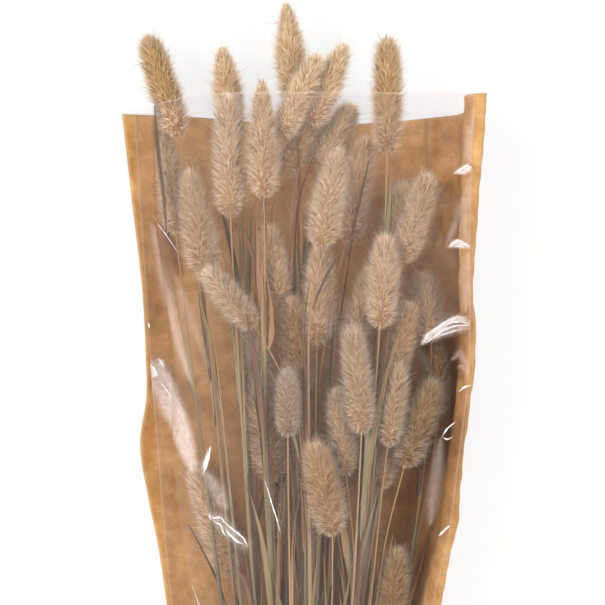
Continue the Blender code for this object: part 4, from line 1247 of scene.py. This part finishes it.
def add_blade(number, finish, base_hue, tip_hue):
    """A dried blade along the frame's own: a creased strip with veins, curled and with wavy edges.

    Across a blade, a point is the middle plus the half width times s along the cut's long way, from
    s = -1 to 1, and the crease times (absolute s - 0.5) square to it.
    """
    node = f"leaf_blade_{number:02d}"
    low, high = (corner.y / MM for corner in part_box(node))
    levels = np.linspace(low + 0.4, high - 0.4, BLADE_GRID[0])
    middle, points, weight = cuts(node, levels)
    away = (points - middle) * np.sqrt(weight)[..., None]
    across = np.linalg.eigh(np.einsum("elx,elz->lxz", away, away))[1][:, :, 1]
    turned = np.where((across[1:] * across[:-1]).sum(1) < 0, -1, 1)
    across *= np.cumprod(np.concatenate([[1], turned]))[:, None]
    square = vectors(-across[:, 1], across[:, 0])
    wide, tall = (np.where(weight > 0, ((points - middle) * way).sum(-1), 0)
                  for way in (across, square))
    half = smoothed(0.5 * (wide.max(0) - wide.min(0))[:, None], 3)
    beside = np.abs(wide) - (weight * np.abs(wide)).sum(0)
    fold = (weight * tall * beside).sum(0) / np.maximum((weight * beside**2).sum(0), 1e-6)
    fold = smoothed(fold[:, None], 5).clip(-1, 1)
    middle = smoothed(middle, 3)
    across, square = unit(smoothed(across, 3)), unit(smoothed(square, 3))
    s = np.linspace(-1, 1, BLADE_GRID[1])
    draw = np.random.default_rng(number + 40)
    ripple = np.sin(levels[:, None] * 0.55 + draw.uniform(0, 6) + 2.0 * s) * 0.10 * np.abs(s) ** 2
    rise = (fold * (np.abs(s) - 0.5) + ripple) * half
    flat = (middle[:, None] + (half * s)[..., None] * across[:, None]
            + rise[..., None] * square[:, None])
    places = vectors(flat[..., 0], levels[:, None], flat[..., 1])
    lay = vectors(half * s, levels[:, None], 9.0 * number)
    faces, at = grid_faces(*BLADE_GRID)
    piece = add_piece(f"dried_blade_{number:02d}", places.reshape(-1, 3), [faces], [finish],
                      [node],
                      {"lay": lay.reshape(-1, 3),
                       "hue": np.repeat(np.linspace(base_hue, tip_hue, len(levels)), len(s)),
                       "margin": np.tile(fade(np.abs(s), 0.86, 1.0), len(levels))},
                      whole_map(at, len(s) - 1, len(levels) - 1))
    thicken(piece, BLADE_THICK, 0.0)


# Elastic band

BAND_SIDES, BAND_STEPS = 10, 360
BAND_RADIUS = 0.62


def add_band():
    """One rubber loop wound three times round the stems.

    At turn t, from 0 to three turns, it runs at the ring's radius plus 0.45 sin(4t/3), and at the
    ring's own y plus 0.8 cos(4t/3).
    """
    low, high = (np.array(corner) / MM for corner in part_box("stem_tie"))
    centre, ring = (low + high) / 2, (high[0] - low[0]) / 2 - 1.3
    t = np.linspace(0, 3 * 2 * math.pi, BAND_STEPS, endpoint=False)
    out = vectors(np.cos(t), 0.0, np.sin(t))
    line = centre + (ring + 0.45 * np.sin(4 * t / 3))[:, None] * out
    line[:, 1] += 0.8 * np.cos(4 * t / 3)
    ahead = unit(np.roll(line, -1, axis=0) - np.roll(line, 1, axis=0))
    up = unit(np.cross(out, ahead))
    turn = ring_turns(BAND_SIDES)
    skin = line[:, None] + BAND_RADIUS * turned(turn, out[:, None], up[:, None])
    faces, at = grid_faces(len(t) + 1, BAND_SIDES, ring=True)
    faces %= len(t) * BAND_SIDES
    lay = vectors(t[:, None] * ring, turn[..., 0] * 0.6, 0.0)
    add_piece("amber_band", skin.reshape(-1, 3), [faces[:, ::-1]], [band_finish()],
              ["stem_tie"], {"lay": lay.reshape(-1, 3)}, whole_map(at[:, ::-1], BAND_SIDES, len(t)))


# Bundle

BLADE_HUES = (  # at the base and at the tip
    (0.55, 0.80), (0.70, 1.00), (0.50, 0.60), (0.20, 0.28), (0.90, 1.00), (0.95, 1.00),
    (0.70, 0.80), (0.15, 0.50), (0.00, 0.10), (0.60, 0.66), (0.95, 1.00), (0.75, 0.70),
    (0.80, 0.66), (0.30, 0.50), (0.35, 0.50),
)

room = Room(*add_sleeve())
stalk_finishes = [fluff_finish(), straw_finish()]
stalks = [stalk_line(index) for index in range(len(HEADS))]
for index, stalk in enumerate(stalks):
    add_stalk(index, stalk, stalk_finishes, room)
blade_finish = leaf_finish()
add_sheaths(stalks, blade_finish, room)
add_glint_strips(room)
for number, hues in enumerate(BLADE_HUES, 1):
    add_blade(number, blade_finish, *hues)
add_band()


# Floor, lights and camera

FLOOR_REACH, FLOOR_Z = 3, -0.0003
LIGHT_AIM, LIGHT_SIZE = (0, 0.1, 0.02), 0.9
LIGHTS = (  # name, place, power, whether the film mirrors it
    ("window_side", (-0.95, 0.35, 0.95), 12.0, False),
    ("room_side", (0.95, 0.20, 0.95), 8.0, False),
    ("head_side", (0.10, 1.30, 0.90), 5.0, True),
    ("foot_side", (-0.20, -1.00, 0.95), 9.0, False),
)
SKY_STRENGTH = 0.5
CAMERA_PLACE = (0.00225, 0.16175, 0.74)
SENSOR = 36
PICTURE_WIDTH, PICTURE_AWAY = 0.3025, 0.70  # what the picture spans, at this way from the camera

scene = bpy.context.scene


def add_floor():
    """A white studio floor, just under the paper."""
    f = Finish("white_studio_floor")
    mottle = f.noise(f.node("TexCoord", output="Object"), 6.0)
    colour = f.ramp(mottle, (0.0, (0.21, 0.21, 0.21)), (1.0, (0.23, 0.23, 0.23)))
    f.surface(base_color=colour, roughness=0.9, specular_ior_level=0.1,
              emission_color=(1.0, 1.0, 1.0), emission_strength=0.74)
    mesh = bpy.data.meshes.new("studio_floor")
    mesh.from_pydata([(x * FLOOR_REACH, y * FLOOR_REACH, FLOOR_Z)
                      for x, y in ((-1, -1), (1, -1), (1, 1), (-1, 1))], [], [(0, 1, 2, 3)])
    mesh.materials.append(f.material)
    floor = bpy.data.objects.new("studio_floor", mesh)
    scene.collection.objects.link(floor)
    return floor


def add_light(name, place, power, mirrored):
    light = bpy.data.lights.new(name, "AREA")
    light.size, light.energy = LIGHT_SIZE, power
    lamp = bpy.data.objects.new(name, light)
    lamp.location = place
    lamp.visible_glossy = mirrored
    lamp.rotation_euler = (Vector(LIGHT_AIM) - Vector(place)).to_track_quat("-Z", "Y").to_euler()
    scene.collection.objects.link(lamp)


floor = add_floor()
for light in LIGHTS:
    add_light(*light)

world = bpy.data.worlds.new("soft_studio")
world.use_nodes = True
sky = world.node_tree.nodes["Background"].inputs
sky["Color"].default_value, sky["Strength"].default_value = (1, 1, 1, 1), SKY_STRENGTH
scene.world = world
scene.view_settings.view_transform = "Standard"

camera = bpy.data.cameras.new("above")
camera.sensor_width, camera.lens = SENSOR, SENSOR * PICTURE_AWAY / PICTURE_WIDTH
camera.clip_start = 0.01
eye = bpy.data.objects.new("above", camera)
eye.location = CAMERA_PLACE
scene.collection.objects.link(eye)
scene.camera = eye
